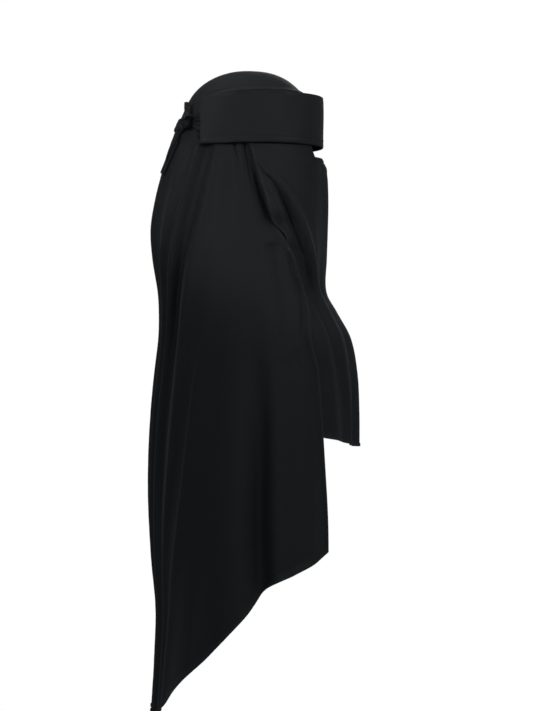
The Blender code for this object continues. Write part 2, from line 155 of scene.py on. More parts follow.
# Hem: how wide its rolled rim is, and how near its width a point has to be to count as inside it
HEM_RIM = 0.0009
HEM_SLACK = 0.0004

# Meshes of the two large cloths. The folded cloth's edges lie a little outside its plan form.
CROWN_ROWS = 40
BROW_COLUMNS = 40
VEIL_COLUMNS = 150
VEIL_ROWS = 110
SCARF_STAND = 0.0004
VEIL_STAND = 0.0003
EDGE_STRETCH = 1.04
NORMAL_STEP = 0.0005

# Camera: square to the right side, about 1.5 mm to a pixel at the middle
CAMERA_PLACE = (-3.0, -0.030, -0.4245)
CAMERA_LENS_MM = 101.3

# Sections from the crown's widest ring (0) to the shoulder (1) and on down to the hem. Widths and depths are
# shares of the way from the crown's size to the widest, and edge is how far forward the scarf's front edge lies,
# as a share of the front depth there.
Section = namedtuple("Section", "place half_width front back edge")
SECTIONS = (
    Section(0.00, 0.000, 0.02, 0.04, 0.141),
    Section(0.18, 0.100, 0.07, 0.39, 0.236),
    Section(0.37, 0.245, 0.09, 0.78, 0.323),
    Section(0.57, 0.430, 0.085, 1.02, 0.420),
    Section(0.77, 0.650, 0.08, 0.86, 0.591),
    Section(1.00, 0.885, 0.085, 0.49, 0.770),
    Section(1.15, 0.975, 0.38, 0.40, 0.750),
    Section(1.32, 1.025, 0.72, 0.42, 0.696),
    Section(1.55, 1.060, 0.88, 0.65, 0.673),
    Section(1.80, 1.095, 0.92, 0.86, 0.683),
    Section(2.10, 1.130, 0.91, 1.00, 0.697),
    Section(2.45, 1.165, 0.90, 1.01, 0.712),
    Section(2.80, 1.190, 0.90, 0.82, 0.719),
    Section(3.15, 1.205, 0.90, 0.52, 0.723),
    Section(3.50, 1.220, 0.90, 0.59, 0.723),
    Section(3.90, 1.235, 0.90, 0.77, 0.723),
)

# How far the hem has risen from its back to its front corner, against the share of the way round
HEM = (
    (0.00, 0.00), (0.20, 0.02), (0.30, 0.05), (0.387, 0.105), (0.467, 0.209), (0.536, 0.304), (0.611, 0.415),
    (0.662, 0.518), (0.704, 0.613), (0.735, 0.684), (0.769, 0.771), (0.811, 0.850),
    (0.862, 0.889), (0.913, 0.929), (0.961, 0.968), (1.00, 1.00),
)

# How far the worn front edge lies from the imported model's, in degrees, by drop
EDGE_TRIM = (
    (0.26, 0.0), (0.284, -0.4), (0.31, -2.0), (0.336, -3.8), (0.358, -4.6), (0.392, -5.7), (0.416, -4.9),
    (0.448, -2.2), (0.488, -1.8), (0.536, -1.1), (0.584, -0.4), (0.66, 0.7), (0.71, 0.7),
)

# Folds, as angles and heights at the band, the shoulder, the waist and the hem. Angles are degrees from the
# middle of the back. Heights are shares of the cloth's fold height, below zero for a valley. Spread is the
# fold's half width in degrees.
FOLD_PLACES = (0.0, 0.25, 0.6, 1.0)
Fold = namedtuple("Fold", "angle height spread")
SCARF_FOLDS = (
    Fold((103, 113, 114, 113), (0.00, 0.30, 0.35, 0.50), 4.2),
    Fold((98, 106, 106, 104), (0.00, -0.25, -0.15, -0.30), 3.8),
    Fold((92, 93, 94, 93), (-0.05, -0.05, -0.40, -0.50), 5.0),
    Fold((85, 85, 84, 81), (0.08, 0.15, 0.35, 0.40), 6.0),
    Fold((78, 84, 78, 72), (-0.08, 0.00, 0.00, -0.10), 3.2),
    Fold((71, 74, 65, 44), (0.20, 0.15, 0.35, 0.35), 4.2),
    Fold((67, 68, 60, 39.5), (0.00, 0.00, -0.20, -0.30), 3.2),
    Fold((64, 63, 55, 36), (0.15, 0.35, 0.35, 0.40), 4.4),
    Fold((55, 55, 47.5, 30), (-0.30, -0.40, -0.40, -0.40), 4.2),
    Fold((45, 48, 38, 22), (0.20, 0.50, 0.45, 0.70), 4.2),
    Fold((40, 42, 32, 17), (-0.20, -0.30, -0.40, -0.50), 3.8),
    Fold((34, 36.5, 26, 11), (0.20, 0.45, 0.50, 0.90), 4.2),
    Fold((25, 27, 17, 2), (-0.25, -0.45, -0.50, -0.70), 4.8),
    Fold((14, 15, 8, -7), (0.25, 0.50, 0.65, 1.00), 5.0),
    Fold((3, 2, -3, -18), (-0.25, -0.50, -0.50, -0.80), 4.8),
    Fold((-9, -11, -15, -28), (0.20, 0.60, 0.70, 1.05), 5.4),
    Fold((-21, -25, -28, -39), (-0.20, -0.40, -0.45, -0.75), 4.6),
    Fold((-34, -39, -41, -50), (0.25, 0.55, 0.60, 0.95), 5.0),
    Fold((-47, -51, -53, -61), (-0.25, -0.35, -0.40, -0.60), 4.8),
    Fold((-61, -64, -66, -72), (0.20, 0.50, 0.55, 0.80), 5.6),
    Fold((-74, -77, -80, -84), (-0.35, -0.25, -0.30, -0.60), 4.4),
    Fold((-84, -88, -91, -95), (0.25, 0.35, 0.35, 0.70), 5.6),
    Fold((-94, -99, -102, -106), (-0.25, -0.30, -0.30, -0.50), 4.6),
)
FACE_FOLDS = (
    Fold((180, 180, 180, 180), (0.95, 1.00, 0.60, 0.00), 13.0),
    Fold((98, 124, 140, 148), (0.60, 0.80, 0.50, 0.20), 5.0),
    Fold((94, 117, 131, 138), (-0.20, -0.75, -0.60, -0.30), 4.6),
    Fold((260, 241, 228, 220), (0.40, 0.70, 0.50, 0.20), 5.5),
    Fold((264, 249, 238, 231), (-0.20, -0.50, -0.40, -0.20), 5.0),
    Fold((152, 152, 152, 152), (0.00, 0.00, -0.45, -0.70), 6.0),
    Fold((165, 164, 164, 163), (0.00, 0.00, 0.45, 0.90), 5.5),
    Fold((178, 178, 178, 178), (0.00, 0.00, -0.30, -0.60), 5.5),
    Fold((194, 194, 193, 193), (0.00, 0.00, 0.40, 0.95), 6.0),
    Fold((208, 208, 207, 207), (0.00, 0.00, -0.40, -0.75), 6.5),
)

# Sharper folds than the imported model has, each a line down the cloth with its own two flanks, whose half widths
# are degrees on its rear and front side. Rows hold a drop, an angle in degrees and a height in millimetres,
# below zero for a valley.
Run = namedtuple("Run", "rear front rows")
SCARF_RUNS = (
    # Right side, from the rear to the front edge
    Run(2.4, 4.0, ((0.105, 28, 0.8), (0.20, 27, 1.6), (0.35, 23, 1.4), (0.60, 16, 1.6), (0.955, 2, 1.8))),
    Run(1.6, 4.0, ((0.105, 37, 0.6), (0.22, 38, 1.8), (0.32, 36, 1.8), (0.45, 33, 1.4), (0.955, 14, 1.8))),
    Run(2.6, 2.6, ((0.105, 43.5, -1), (0.20, 42.5, -2.2), (0.32, 43, -2.2), (0.60, 36, -1.6),
        (0.955, 18, -1.6))),
    Run(3.2, 1.3, ((0.105, 48.5, 1.2), (0.15, 46.2, 3), (0.22, 47.2, 4), (0.30, 49, 3.6), (0.42, 46, 1.8),
        (0.66, 38, 1.2), (0.955, 22, 1.8))),
    Run(1.5, 8.5, ((0.102, 53.5, -0.4), (0.125, 51.6, -3.4), (0.16, 50.0, -7.2), (0.22, 50.4, -9.6),
        (0.30, 52.4, -8.8), (0.40, 50.5, -6), (0.50, 48.0, -3.4), (0.66, 44, -1.8), (0.955, 30, -1.2))),
    Run(5.5, 5.0, ((0.102, 64.4, 1.8), (0.15, 63.6, 3.6), (0.22, 63.8, 4.6), (0.30, 63.8, 4.6),
        (0.37, 61.3, 3.8), (0.416, 60, 3.2), (0.50, 58.7, 2), (0.955, 34, 0))),
    Run(1.3, 3.0, ((0.102, 64.4, 0.4), (0.22, 63.8, 1.2), (0.30, 63.8, 1.3), (0.37, 61.3, 1.5),
        (0.416, 60, 1.6), (0.50, 58.7, 2), (0.60, 56.0, 2.2), (0.73, 49.5, 2.2), (0.872, 40.8, 2),
        (0.955, 34, 1.8))),
    Run(2.4, 1.1, ((0.40, 70.2, 0), (0.46, 68.8, -1.8), (0.545, 66.2, -2.6), (0.62, 63.6, -2.6),
        (0.70, 59.2, -2.4), (0.80, 51.6, -2), (0.90, 45, -1.6))),
    Run(1.0, 3.4, ((0.40, 73, 0), (0.442, 71.5, 1.8), (0.486, 70, 2.6), (0.545, 68, 3), (0.62, 65.4, 3),
        (0.70, 61, 2.8), (0.77, 55.6, 2.6), (0.866, 49.4, 2.4), (0.93, 45, 2))),
    Run(1.5, 1.0, ((0.100, 78.4, -2.6), (0.118, 79.4, -3.6), (0.142, 82.8, -2.2), (0.168, 84.8, 0))),
    Run(1.0, 1.4, ((0.100, 83.6, 2.2), (0.122, 84.6, 2.2), (0.148, 86.8, 1), (0.170, 88.5, 0))),
    Run(1.2, 1.8, ((0.100, 88.2, -3), (0.122, 89.4, -3), (0.142, 91.6, -2.2), (0.170, 94.2, -1),
        (0.190, 95.5, 0))),
    Run(3.0, 3.0, ((0.52, 78.5, 0), (0.60, 77, -1.4), (0.66, 75.2, -2.2), (0.72, 73.5, -2.6), (0.79, 71, -2.6),
        (0.86, 69, -1.8))),
    Run(4.4, 3.0, ((0.41, 92, 0), (0.46, 93.4, -2.6), (0.53, 94.2, -6.6), (0.60, 94.4, -9.4),
        (0.66, 94.2, -10.4), (0.76, 94.6, -9.4))),
    Run(3.0, 2.2, ((0.41, 95, 0), (0.46, 96.2, -2.2), (0.53, 96.8, -6), (0.60, 97.0, -8.8), (0.66, 96.8, -10),
        (0.76, 97.2, -9))),
    Run(1.8, 8.0, ((0.42, 99.5, 0), (0.48, 99.6, 2.8), (0.56, 99.4, 6), (0.65, 99.2, 8.6), (0.76, 100.4, 8))),
    Run(1.3, 1.0, ((0.262, 110.2, 0), (0.284, 112.2, -2.6), (0.31, 113.4, -3.4), (0.336, 115.5, -3.4),
        (0.358, 115.0, -3.6), (0.392, 113.0, -3.4), (0.42, 113.6, -1.6), (0.46, 116, 0))),
    Run(1.2, 1.6, ((0.262, 112.0, 0), (0.284, 114.2, 2.2), (0.31, 115.4, 3), (0.336, 117.5, 3.2),
        (0.358, 117.0, 3.4), (0.392, 115.0, 3.4), (0.416, 115.4, 2.8), (0.448, 118.2, 1.8), (0.50, 119, 1.2),
        (0.60, 121.6, 0.8), (0.705, 122, 0.4))),
    # Back
    Run(2.6, 2.6, ((0.105, 12, 0.6), (0.25, 10, 1.4), (0.60, 3, 1.6), (0.955, -11, 2.2))),
    Run(2.0, 3.2, ((0.105, -2, 0.8), (0.20, -4, 1.6), (0.40, -6, 1.8), (0.955, -23, 2.6))),
    Run(2.6, 2.4, ((0.105, -15, 0.4), (0.25, -18, -1.4), (0.60, -22, -1.6), (0.955, -34, -2))),
    Run(3.0, 1.8, ((0.105, -27, 0.8), (0.22, -30, 2.2), (0.50, -34, 2.2), (0.955, -45, 2.6))),
    # Left side
    Run(1.8, 3.4, ((0.105, -41, 1), (0.20, -43, 2.6), (0.40, -46, 2.6), (0.955, -56, 2.8))),
    Run(1.6, 1.2, ((0.100, -54, -2.6), (0.13, -55, -2.4), (0.19, -57, 0))),
    Run(1.4, 3.8, ((0.105, -58.5, 1.2), (0.18, -61, 2.8), (0.30, -64, 3.4), (0.60, -70, 2.6),
        (0.955, -76, 2.6))),
    Run(3.4, 1.5, ((0.105, -66, -1.2), (0.22, -70, -2.8), (0.40, -73, -3), (0.70, -78, -3.4), (0.90, -82, -3))),
    Run(1.2, 1.4, ((0.100, -76, 2.4), (0.13, -77, 2.2), (0.19, -79, 0))),
    Run(1.6, 1.2, ((0.100, -81, -3), (0.13, -83, -2.4), (0.18, -86, 0))),
    Run(1.3, 4.6, ((0.30, -83, 0), (0.42, -85, 2.2), (0.60, -88, 3.2), (0.85, -92, 3.4))),
    Run(4.4, 3.4, ((0.105, -91, 0), (0.16, -96, -2.4), (0.22, -101, -4), (0.262, -103, -2.2), (0.29, -103, 0))),
    Run(3.0, 1.8, ((0.36, -99, 0), (0.48, -101, -3.4), (0.60, -103, -5.2), (0.75, -104, -5))),
    Run(1.4, 4.0, ((0.30, -108, 0), (0.42, -109, 2), (0.60, -111, 2.8), (0.72, -112, 2.4))),
)
# The hollow behind the face veil's rear edge, which the veil bridges as far down as it hangs free
HOLLOW_RUNS = (
    Run(8.5, 7.0, ((0.112, 90.0, 0), (0.14, 95.2, -6), (0.17, 100.6, -12.5), (0.20, 105.2, -16.5),
        (0.228, 109.2, -16.5), (0.250, 111.2, -7), (0.272, 112, -1), (0.285, 112, 0))),
)
VEIL_RUNS = (
    Run(1.6, 3.6, ((0.112, 90, 0.8), (0.124, 93.4, 2.2), (0.142, 100.2, 3.6), (0.158, 106, 4.4),
        (0.176, 114, 5), (0.198, 120, 5.2), (0.224, 124.5, 4.8), (0.262, 128.6, 4), (0.32, 133, 3),
        (0.45, 141, 2), (0.56, 147, 1.4))),
    Run(3.4, 1.8, ((0.145, 98, 0), (0.160, 103.6, -4), (0.180, 111, -5.6), (0.202, 116.4, -6.2),
        (0.224, 120.0, -6.2), (0.262, 124.0, -4.8), (0.34, 130, -2.6), (0.50, 139, -1))),
    Run(1.6, 1.8, ((0.150, 96, 0), (0.170, 101.5, 2.6), (0.192, 109.0, 4), (0.214, 112.4, 4.2),
        (0.242, 114.2, 3.2), (0.30, 120, 1.6), (0.42, 128, 0))),
    Run(2.0, 1.6, ((0.215, 107.5, 0), (0.235, 109.0, -2.2), (0.262, 113.5, -2.6), (0.30, 120, -1),
        (0.34, 124, 0))),
    Run(3.6, 1.5, ((0.115, 267, 0), (0.142, 259, 2.2), (0.176, 247, 4), (0.224, 237, 4.4), (0.32, 228, 2.8),
        (0.56, 214, 1.4))),
    Run(1.4, 3.0, ((0.145, 262, 0), (0.182, 249.5, -3.6), (0.224, 241, -4.8), (0.34, 231, -2.4),
        (0.50, 222, 0))),
    Run(3.0, 3.0, ((0.20, 143, 0), (0.30, 145, 1), (0.42, 147, 2), (0.56, 146, 2.4))),
    Run(3.4, 3.4, ((0.22, 171, 0), (0.36, 171, 1.4), (0.56, 171, 2.4))),
    Run(3.2, 3.2, ((0.22, 186, 0), (0.36, 187, 1.6), (0.56, 188, 2.6))),
    Run(3.6, 3.6, ((0.22, 201, 0), (0.36, 201, -1.4), (0.56, 200, -2.4))),
    Run(3.2, 3.2, ((0.20, 215, 0), (0.36, 216, 1.4), (0.56, 216, 2.2))),
)

# Short creases and pulls: middle as an angle in degrees and a drop, half length and half width in metres,
# height in metres, and slant in degrees from level, positive where it goes down towards the front
Crease = namedtuple("Crease", "angle drop reach width height slant")
SCARF_CREASES = (
    Crease(106.5, 0.261, 0.014, 0.0028, 0.0042, -4),
    Crease(104.0, 0.271, 0.014, 0.0038, -0.0052, -10),
    Crease(101.0, 0.284, 0.014, 0.0034, 0.0020, -52),
    Crease(97.5, 0.281, 0.012, 0.0040, -0.0016, -40),
    Crease(105.0, 0.300, 0.018, 0.0042, -0.0018, -80),
    Crease(107.6, 0.430, 0.022, 0.0040, -0.0015, -28),
    Crease(107.2, 0.421, 0.020, 0.0050, 0.0010, -28),
    Crease(110.6, 0.443, 0.011, 0.0024, -0.0010, 78),
    Crease(46.6, 0.1075, 0.0050, 0.0015, -0.0034, -6),
    Crease(45.5, 0.113, 0.008, 0.0024, 0.0014, 20),
    Crease(47.0, 0.122, 0.012, 0.0034, 0.0014, 62),
    Crease(38.0, 0.046, 0.010, 0.0022, 0.0010, -38),
    Crease(43.0, 0.040, 0.012, 0.0022, -0.0010, -34),
    Crease(31.0, 0.050, 0.012, 0.0024, 0.0011, -52),
    Crease(26.0, 0.058, 0.010, 0.0022, -0.0009, -60),
    Crease(55.0, 0.033, 0.016, 0.0022, 0.0010, -12),
    Crease(-40.0, 0.045, 0.012, 0.0026, 0.0010, 38),
    Crease(-46.0, 0.112, 0.010, 0.0032, -0.0016, 8),
)
FACE_CREASES = (
    Crease(150.0, 0.140, 0.030, 0.0060, 0.0010, -6),
    Crease(172.0, 0.150, 0.020, 0.0060, -0.0009, 12),
    Crease(133.0, 0.160, 0.030, 0.0080, -0.0010, 30),
)


class ClothSettings(PropertyGroup):
    thickness: FloatProperty(
        name="Thickness", description="Thickness of the chiffon", default=0.0007, min=0.0003, unit="LENGTH")
    hem_width: FloatProperty(
        name="Hem width", description="Width of the narrow turned hem", default=0.0054, min=0.002, unit="LENGTH")
    hem_thickness: FloatProperty(
        name="Hem thickness", description="Thickness of the turned hem", default=0.0019, min=0.0005, unit="LENGTH")
    columns: IntProperty(
        name="Columns", description="Columns of the scarf's mesh from front edge to front edge", default=250, min=40)
    rows: IntProperty(
        name="Rows", description="Rows of the scarf's mesh from the brow to the hem", default=134, min=30)
    colour: FloatVectorProperty(
        name="Colour", description="Colour of the chiffon", subtype="COLOR", size=3,
        default=(0.0117, 0.0136, 0.0153))
    roughness: FloatProperty(
        name="Roughness", description="Roughness of the chiffon", default=0.66, min=0, max=1, subtype="FACTOR")


class BandSettings(PropertyGroup):
    edge_radius: FloatProperty(
        name="Edge radius", description="Rounding of the band's folded edges", default=0.0014, unit="LENGTH")
    stitch_rise: FloatProperty(
        name="Stitch line", description="Height of the stitch line above the lower edge", default=0.0080,
        unit="LENGTH")
    stitch_length: FloatProperty(
        name="Stitch length", description="Length of one stitch", default=0.0026, unit="LENGTH")
    stitch_pitch: FloatProperty(
        name="Stitch pitch", description="Distance from one stitch to the next", default=0.0036, unit="LENGTH")
    colour: FloatVectorProperty(
        name="Colour", description="Colour of the band", subtype="COLOR", size=3, default=(0.0163, 0.0178, 0.0206))


class TieSettings(PropertyGroup):
    pleats: IntProperty(
        name="Pleats", description="Pleats across a gathered strap", default=7, min=2)
    pleat_height: FloatProperty(
        name="Pleat height", description="Height of a pleat where it leaves the band", default=0.0056, unit="LENGTH")
    thickness: FloatProperty(
        name="Thickness", description="Thickness of a tie's cloth", default=0.0009, unit="LENGTH")
    colour: FloatVectorProperty(
        name="Colour", description="Colour of the ties", subtype="COLOR", size=3, default=(0.0110, 0.0124, 0.0142))


class StageSettings(PropertyGroup):
    floor_drop: FloatProperty(
        name="Floor", description="How far the floor lies below the crown", default=1.62, unit="LENGTH")
    floor_radius: FloatProperty(
        name="Floor radius", description="Radius of the pale floor", default=2.2, unit="LENGTH")
    key: FloatProperty(
        name="Key light", description="Power of the soft light above the right side, in watts", default=8.0, min=0)
    front: FloatProperty(
        name="Front light", description="Power of the soft light above the front, in watts", default=5.0, min=0)
    fill: FloatProperty(
        name="Fill light", description="Power of the soft light above the back, in watts", default=3.4, min=0)
    rear: FloatProperty(
        name="Rear light", description="Power of the narrow light on the knot, in watts", default=0.12, min=0)
    top: FloatProperty(
        name="Top light", description="Power of the soft light over the crown, in watts", default=3.6, min=0)
    side: FloatProperty(
        name="Side light", description="Power of the soft light on the left side, in watts", default=6.5, min=0)
    sky: FloatProperty(
        name="Sky", description="Strength of the even light from all round", default=0.155, min=0)


# Plan form and folds, each worked out for many points at once

def half_turn(degrees):
    """The same direction, from -180 to 180 degrees."""
    return (degrees + 180) % 360 - 180


def table_curve(places, values, at):
    """One smooth curve through a table's rows, read at many places."""
    places = np.array(places, float)
    values = np.array(values, float)
    slopes = np.empty_like(values)
    slopes[1:-1] = (values[2:] - values[:-2]) / (places[2:] - places[:-2])
    slopes[0] = (values[1] - values[0]) / (places[1] - places[0])
    slopes[-1] = (values[-1] - values[-2]) / (places[-1] - places[-2])
    at = np.clip(at, places[0], places[-1])
    k = np.clip(np.searchsorted(places, at, side="right") - 1, 0, len(places) - 2)
    span = places[k + 1] - places[k]
    t = (at - places[k]) / span
    return (
        values[k] * (2 * t**3 - 3 * t**2 + 1)
        + slopes[k] * span * (t**3 - 2 * t**2 + t)
        + values[k + 1] * (3 * t**2 - 2 * t**3)
        + slopes[k + 1] * span * (t**3 - t**2)
    )


def ease(value):
    """0 below 0, 1 above 1, and a smooth step between."""
    value = np.clip(value, 0.0, 1.0)
    return value * value * (3 - 2 * value)


def section_curve(name, drop):
    place = (drop - CROWN_HEIGHT) / (SHOULDER_DROP - CROWN_HEIGHT)
    return table_curve([s.place for s in SECTIONS], [getattr(s, name) for s in SECTIONS], place)


def plan_sizes(drop):
    """Half width, front depth and back depth of what the cloth lies on, that far below the crown's top."""
    rise = np.clip((CROWN_HEIGHT - drop) / CROWN_HEIGHT, 0.0, 1.0)
    share = np.sqrt(np.clip(1 - rise**2, 1e-9, 1.0))
    half_width = HEAD_HALF_WIDTH + section_curve("half_width", drop) * (SHOULDER_HALF_WIDTH - HEAD_HALF_WIDTH)
    front = HEAD_FRONT + share**4 * section_curve("front", drop) * (CHEST_FRONT - HEAD_FRONT)
    back = HEAD_BACK + section_curve("back", drop) * (SEAT_BACK - HEAD_BACK)
    return half_width * share**0.9, front * share**BROW_FULLNESS, back * share


def plan_radius(angle, drop):
    half_width, front, back = plan_sizes(drop)
    depth = np.where(np.cos(angle) > 0, back, front)
    across = np.abs(np.sin(angle) / half_width) ** PLAN_SQUARENESS
    along = np.abs(np.cos(angle) / depth) ** PLAN_SQUARENESS
    return (across + along) ** (-1 / PLAN_SQUARENESS)


def edge_angle(drop):
    """Angle of the scarf's front edge from the middle of the back."""
    drop = np.maximum(drop, CROWN_HEIGHT)
    half_width, front, _ = plan_sizes(drop)
    forward = section_curve("edge", drop)
    sideways = half_width * (1 - forward**PLAN_SQUARENESS) ** (1 / PLAN_SQUARENESS)
    trim = table_curve(*zip(*EDGE_TRIM), drop)
    return math.pi / 2 + np.arctan2(forward * front, sideways) + np.radians(trim)


def fold_height(folds, angle, share):
    """Sum of the folds at an angle, a share of the way from the band to the hem."""
    total = np.zeros(np.broadcast(angle, share).shape)
    for fold in folds:
        centre = table_curve(FOLD_PLACES, fold.angle, share)
        height = table_curve(FOLD_PLACES, fold.height, share)
        away = np.abs(half_turn(np.degrees(angle) - centre))
        total = total + height * np.exp(-((away / fold.spread) ** 2))
    return total


def run_height(runs, angle, drop):
    """Sum of the sharper folds, each with a narrow crest and its own two flanks."""
    total = np.zeros(np.broadcast(angle, drop).shape)
    for run in runs:
        drops, angles, heights = zip(*run.rows)
        centre = table_curve(drops, angles, drop)
        height = table_curve(drops, heights, drop) / 1000
        away = half_turn(np.degrees(angle) - centre)
        if angles[0] < 0:
            away = -away
        across = away / np.where(away > 0, run.front, run.rear)
        total = total + height * np.exp(0.025 - (across**2 + 0.01) ** 0.8)
    return total


def crease_height(creases, angle, drop):
    total = np.zeros(np.broadcast(angle, drop).shape)
    for crease in creases:
        radius = float(plan_radius(np.array(math.radians(crease.angle)), np.array(crease.drop)))
        around = np.radians(half_turn(np.degrees(angle) - crease.angle)) * radius
        below = drop - crease.drop
        slant = math.radians(crease.slant)
        along = around * math.cos(slant) + below * math.sin(slant)
        across = below * math.cos(slant) - around * math.sin(slant)
        total = total + crease.height * np.exp(-((along / crease.reach) ** 2) - (across / crease.width) ** 2)
    return total


def unevenness(angle, drop):
    """Slow waves that keep long folds from running at one height, from -1 to 1."""
    first = np.sin(drop * 19.0 + angle * 3.1 + 0.6) * np.sin(drop * 7.3 - angle * 5.7 + 1.9)
    second = np.sin(drop * 31.0 - angle * 8.3 + 2.7) * np.sin(angle * 2.3 + 0.4)
    return 0.6 * first + 0.4 * second


def hem_drop(way):
    rise = table_curve(*zip(*HEM), np.abs(way))
    return SCARF_BACK_DROP - rise * (SCARF_BACK_DROP - SCARF_CORNER_DROP)


def band_top(angle):
    """Drop of the band's top edge, which dips towards the band's ends."""
    way = (angle % (2 * math.pi) - math.pi) / (math.pi - BAND_END_ANGLE)
    return BAND_TOP_DROP - BAND_TOP_RISE + BAND_TOP_DIP * np.minimum(np.abs(way), 1.0) ** 5


def scarf_lift(angle, drop):
    """How far the scarf's folds and the pull of its ties move it outwards."""
    way = (angle + math.pi) % (2 * math.pi) - math.pi
    share = np.maximum((drop - BAND_BOTTOM_DROP) / (SCARF_BACK_DROP - BAND_BOTTOM_DROP), 0.0)
    behind = ease((BAND_END_ANGLE - np.abs(way)) / math.radians(25))
    start = BAND_BOTTOM_DROP - behind * (BAND_BOTTOM_DROP - KNOT_DROP) * 0.6
    grown = ease((drop - start) / EYE_SLIT_HEIGHT)
    uneven = 1 + 0.12 * unevenness(angle, drop) * grown
    folds = SCARF_FOLD * grown * fold_height(SCARF_FOLDS, way, share) * uneven
    sharp = ease((drop - start + 0.006) / 0.012) * run_height(SCARF_RUNS, way, drop)
    cinch = np.exp(-(((drop - CINCH_DROP) / CINCH_SPREAD) ** 2)) * np.maximum(0.0, np.cos(way)) ** 2
    over_band = np.exp(-(((drop - band_top(angle) + BAND_BULGE_RISE) / BAND_BULGE_REACH) ** 2))
    on_band = over_band * ease((np.abs(way) - 0.8) / 0.3)
    return folds + sharp + crease_height(SCARF_CREASES, way, drop) + BAND_BULGE * on_band - CINCH_DEPTH * cinch


def hollow_height(angle, drop):
    return run_height(HOLLOW_RUNS, (angle + math.pi) % (2 * math.pi) - math.pi, drop)


def hollowed_lift(angle, drop):
    return scarf_lift(angle, drop) + hollow_height(angle, drop)


def plan_points(angle, drop, lift):
    radius = plan_radius(angle, drop) + lift(angle, drop)
    return np.stack([-radius * np.sin(angle), radius * np.cos(angle), -drop], axis=-1)


def lifted_points(angle, drop, lift, clear):
    """Points of the folded cloth, moved clear of it along their normals."""
    step = np.minimum(NORMAL_STEP, drop * 0.5)
    turn = plan_points(angle + NORMAL_STEP, drop, lift) - plan_points(angle - NORMAL_STEP, drop, lift)
    fall = plan_points(angle, drop + step, lift) - plan_points(angle, drop - step, lift)
    normal = np.cross(fall, turn)
    normal /= np.maximum(np.linalg.norm(normal, axis=-1, keepdims=True), 1e-12)
    return plan_points(angle, drop, lift) + np.expand_dims(clear, -1) * normal


def scarf_points(angle, drop, clear):
    angle, drop, clear = np.broadcast_arrays(np.asarray(angle, float), drop, clear)
    return lifted_points(angle, drop, hollowed_lift, clear)


def rear_layer(drop):
    """Clearance of the face veil's rear from the scarf: outside above the crossing, and inside below."""
    over = CLOTH_WALL + OVERLAP_GAP
    under = -(CLOTH_WALL + UNDER_DEPTH)
    crossed = ease((drop - CROSSING_DROP + CROSSING_REACH / 2) / CROSSING_REACH)
    return over + crossed * (under - over)


def face_edge_angle(drop):
    """Angle of the face veil's rear edge: it laps the scarf's edge but at the crossing, where it clears it."""
    above = np.clip((CROSSING_DROP - drop) / (CROSSING_DROP - CROWN_HEIGHT), 0.0, 1.0)
    parted = ease((CROSSING_DROP - drop) / CROSSING_REACH - 0.5)
    below = ease((drop - CROSSING_DROP) / CROSSING_REACH - 0.5)
    lap = parted * (CROSSING_LAP + above * (BROW_LAP - CROSSING_LAP)) + below * UNDER_LAP
    return edge_angle(drop) + CROSSING_CLEAR - lap


def face_top_drop(angle):
    off_middle = np.abs(angle - math.pi)
    tucked = ease((off_middle - EYE_SLIT_HALF_ANGLE) / EYE_SLIT_END_ANGLE)
    return BAND_BOTTOM_DROP + EYE_SLIT_HEIGHT - tucked * (EYE_SLIT_HEIGHT + FACE_VEIL_TUCK)


def face_points(angle, drop, clear):
    """The face veil lies on the scarf near its rear edges and has folds of its own towards the front."""
    from_edge = np.minimum(angle, 2 * math.pi - angle) - edge_angle(drop)
    own = ease((from_edge - CROSSING_CLEAR) / OWN_FOLD_ANGLE - 0.3)
    share = np.clip((drop - BAND_BOTTOM_DROP) / (FACE_VEIL_DROP - BAND_BOTTOM_DROP), 0.0, 1.0)

    def lift(at_angle, at_drop):
        grown = ease((at_drop - BAND_BOTTOM_DROP) / EYE_SLIT_HEIGHT - 0.8)
        off_rear = np.minimum(at_angle, 2 * math.pi - at_angle) - face_edge_angle(at_drop)
        runs = run_height(VEIL_RUNS, at_angle, at_drop) * ease(off_rear / VEIL_FLAT_ANGLE)
        folds = FACE_FOLD * fold_height(FACE_FOLDS, at_angle, share) + runs
        folds = folds + crease_height(FACE_CREASES, at_angle, at_drop)
        laid = ease((at_drop - BRIDGE_DROP) / BRIDGE_REACH)
        lapped = scarf_lift(at_angle, at_drop) + laid * hollow_height(at_angle, at_drop) + np.maximum(runs, 0.0)
        return lapped * (1 - own) + own * grown * folds

    base = rear_layer(drop) * (1 - own) + (CLOTH_WALL + LAYER_GAP) * own
    return lifted_points(angle, drop, lift, base + clear)


# Meshes

def spread_places(count, density):
    """Places from 0 to 1, closer together where density, a function of the place, is higher."""
    fine = np.linspace(0, 1, 2001)
    weight = density(fine)
    total = np.concatenate([[0], np.cumsum((weight[1:] + weight[:-1]) / 2)])
    return np.interp(np.linspace(0, 1, count + 1), total / total[-1], fine)


def hem_steps(settings):
    """Distances from an edge at which the hem's mesh has a line: rim, outer fold, inner fold and cloth."""
    return np.array([0.0, HEM_RIM, settings.hem_width - HEM_RIM, settings.hem_width])


def run_lengths(points, axis):
    """Distance along the rows or columns of a grid of points, from its first line."""
    steps = np.linalg.norm(np.diff(points, axis=axis), axis=-1)
    return np.concatenate([np.zeros_like(np.take(steps, [0], axis=axis)), np.cumsum(steps, axis=axis)], axis=axis)


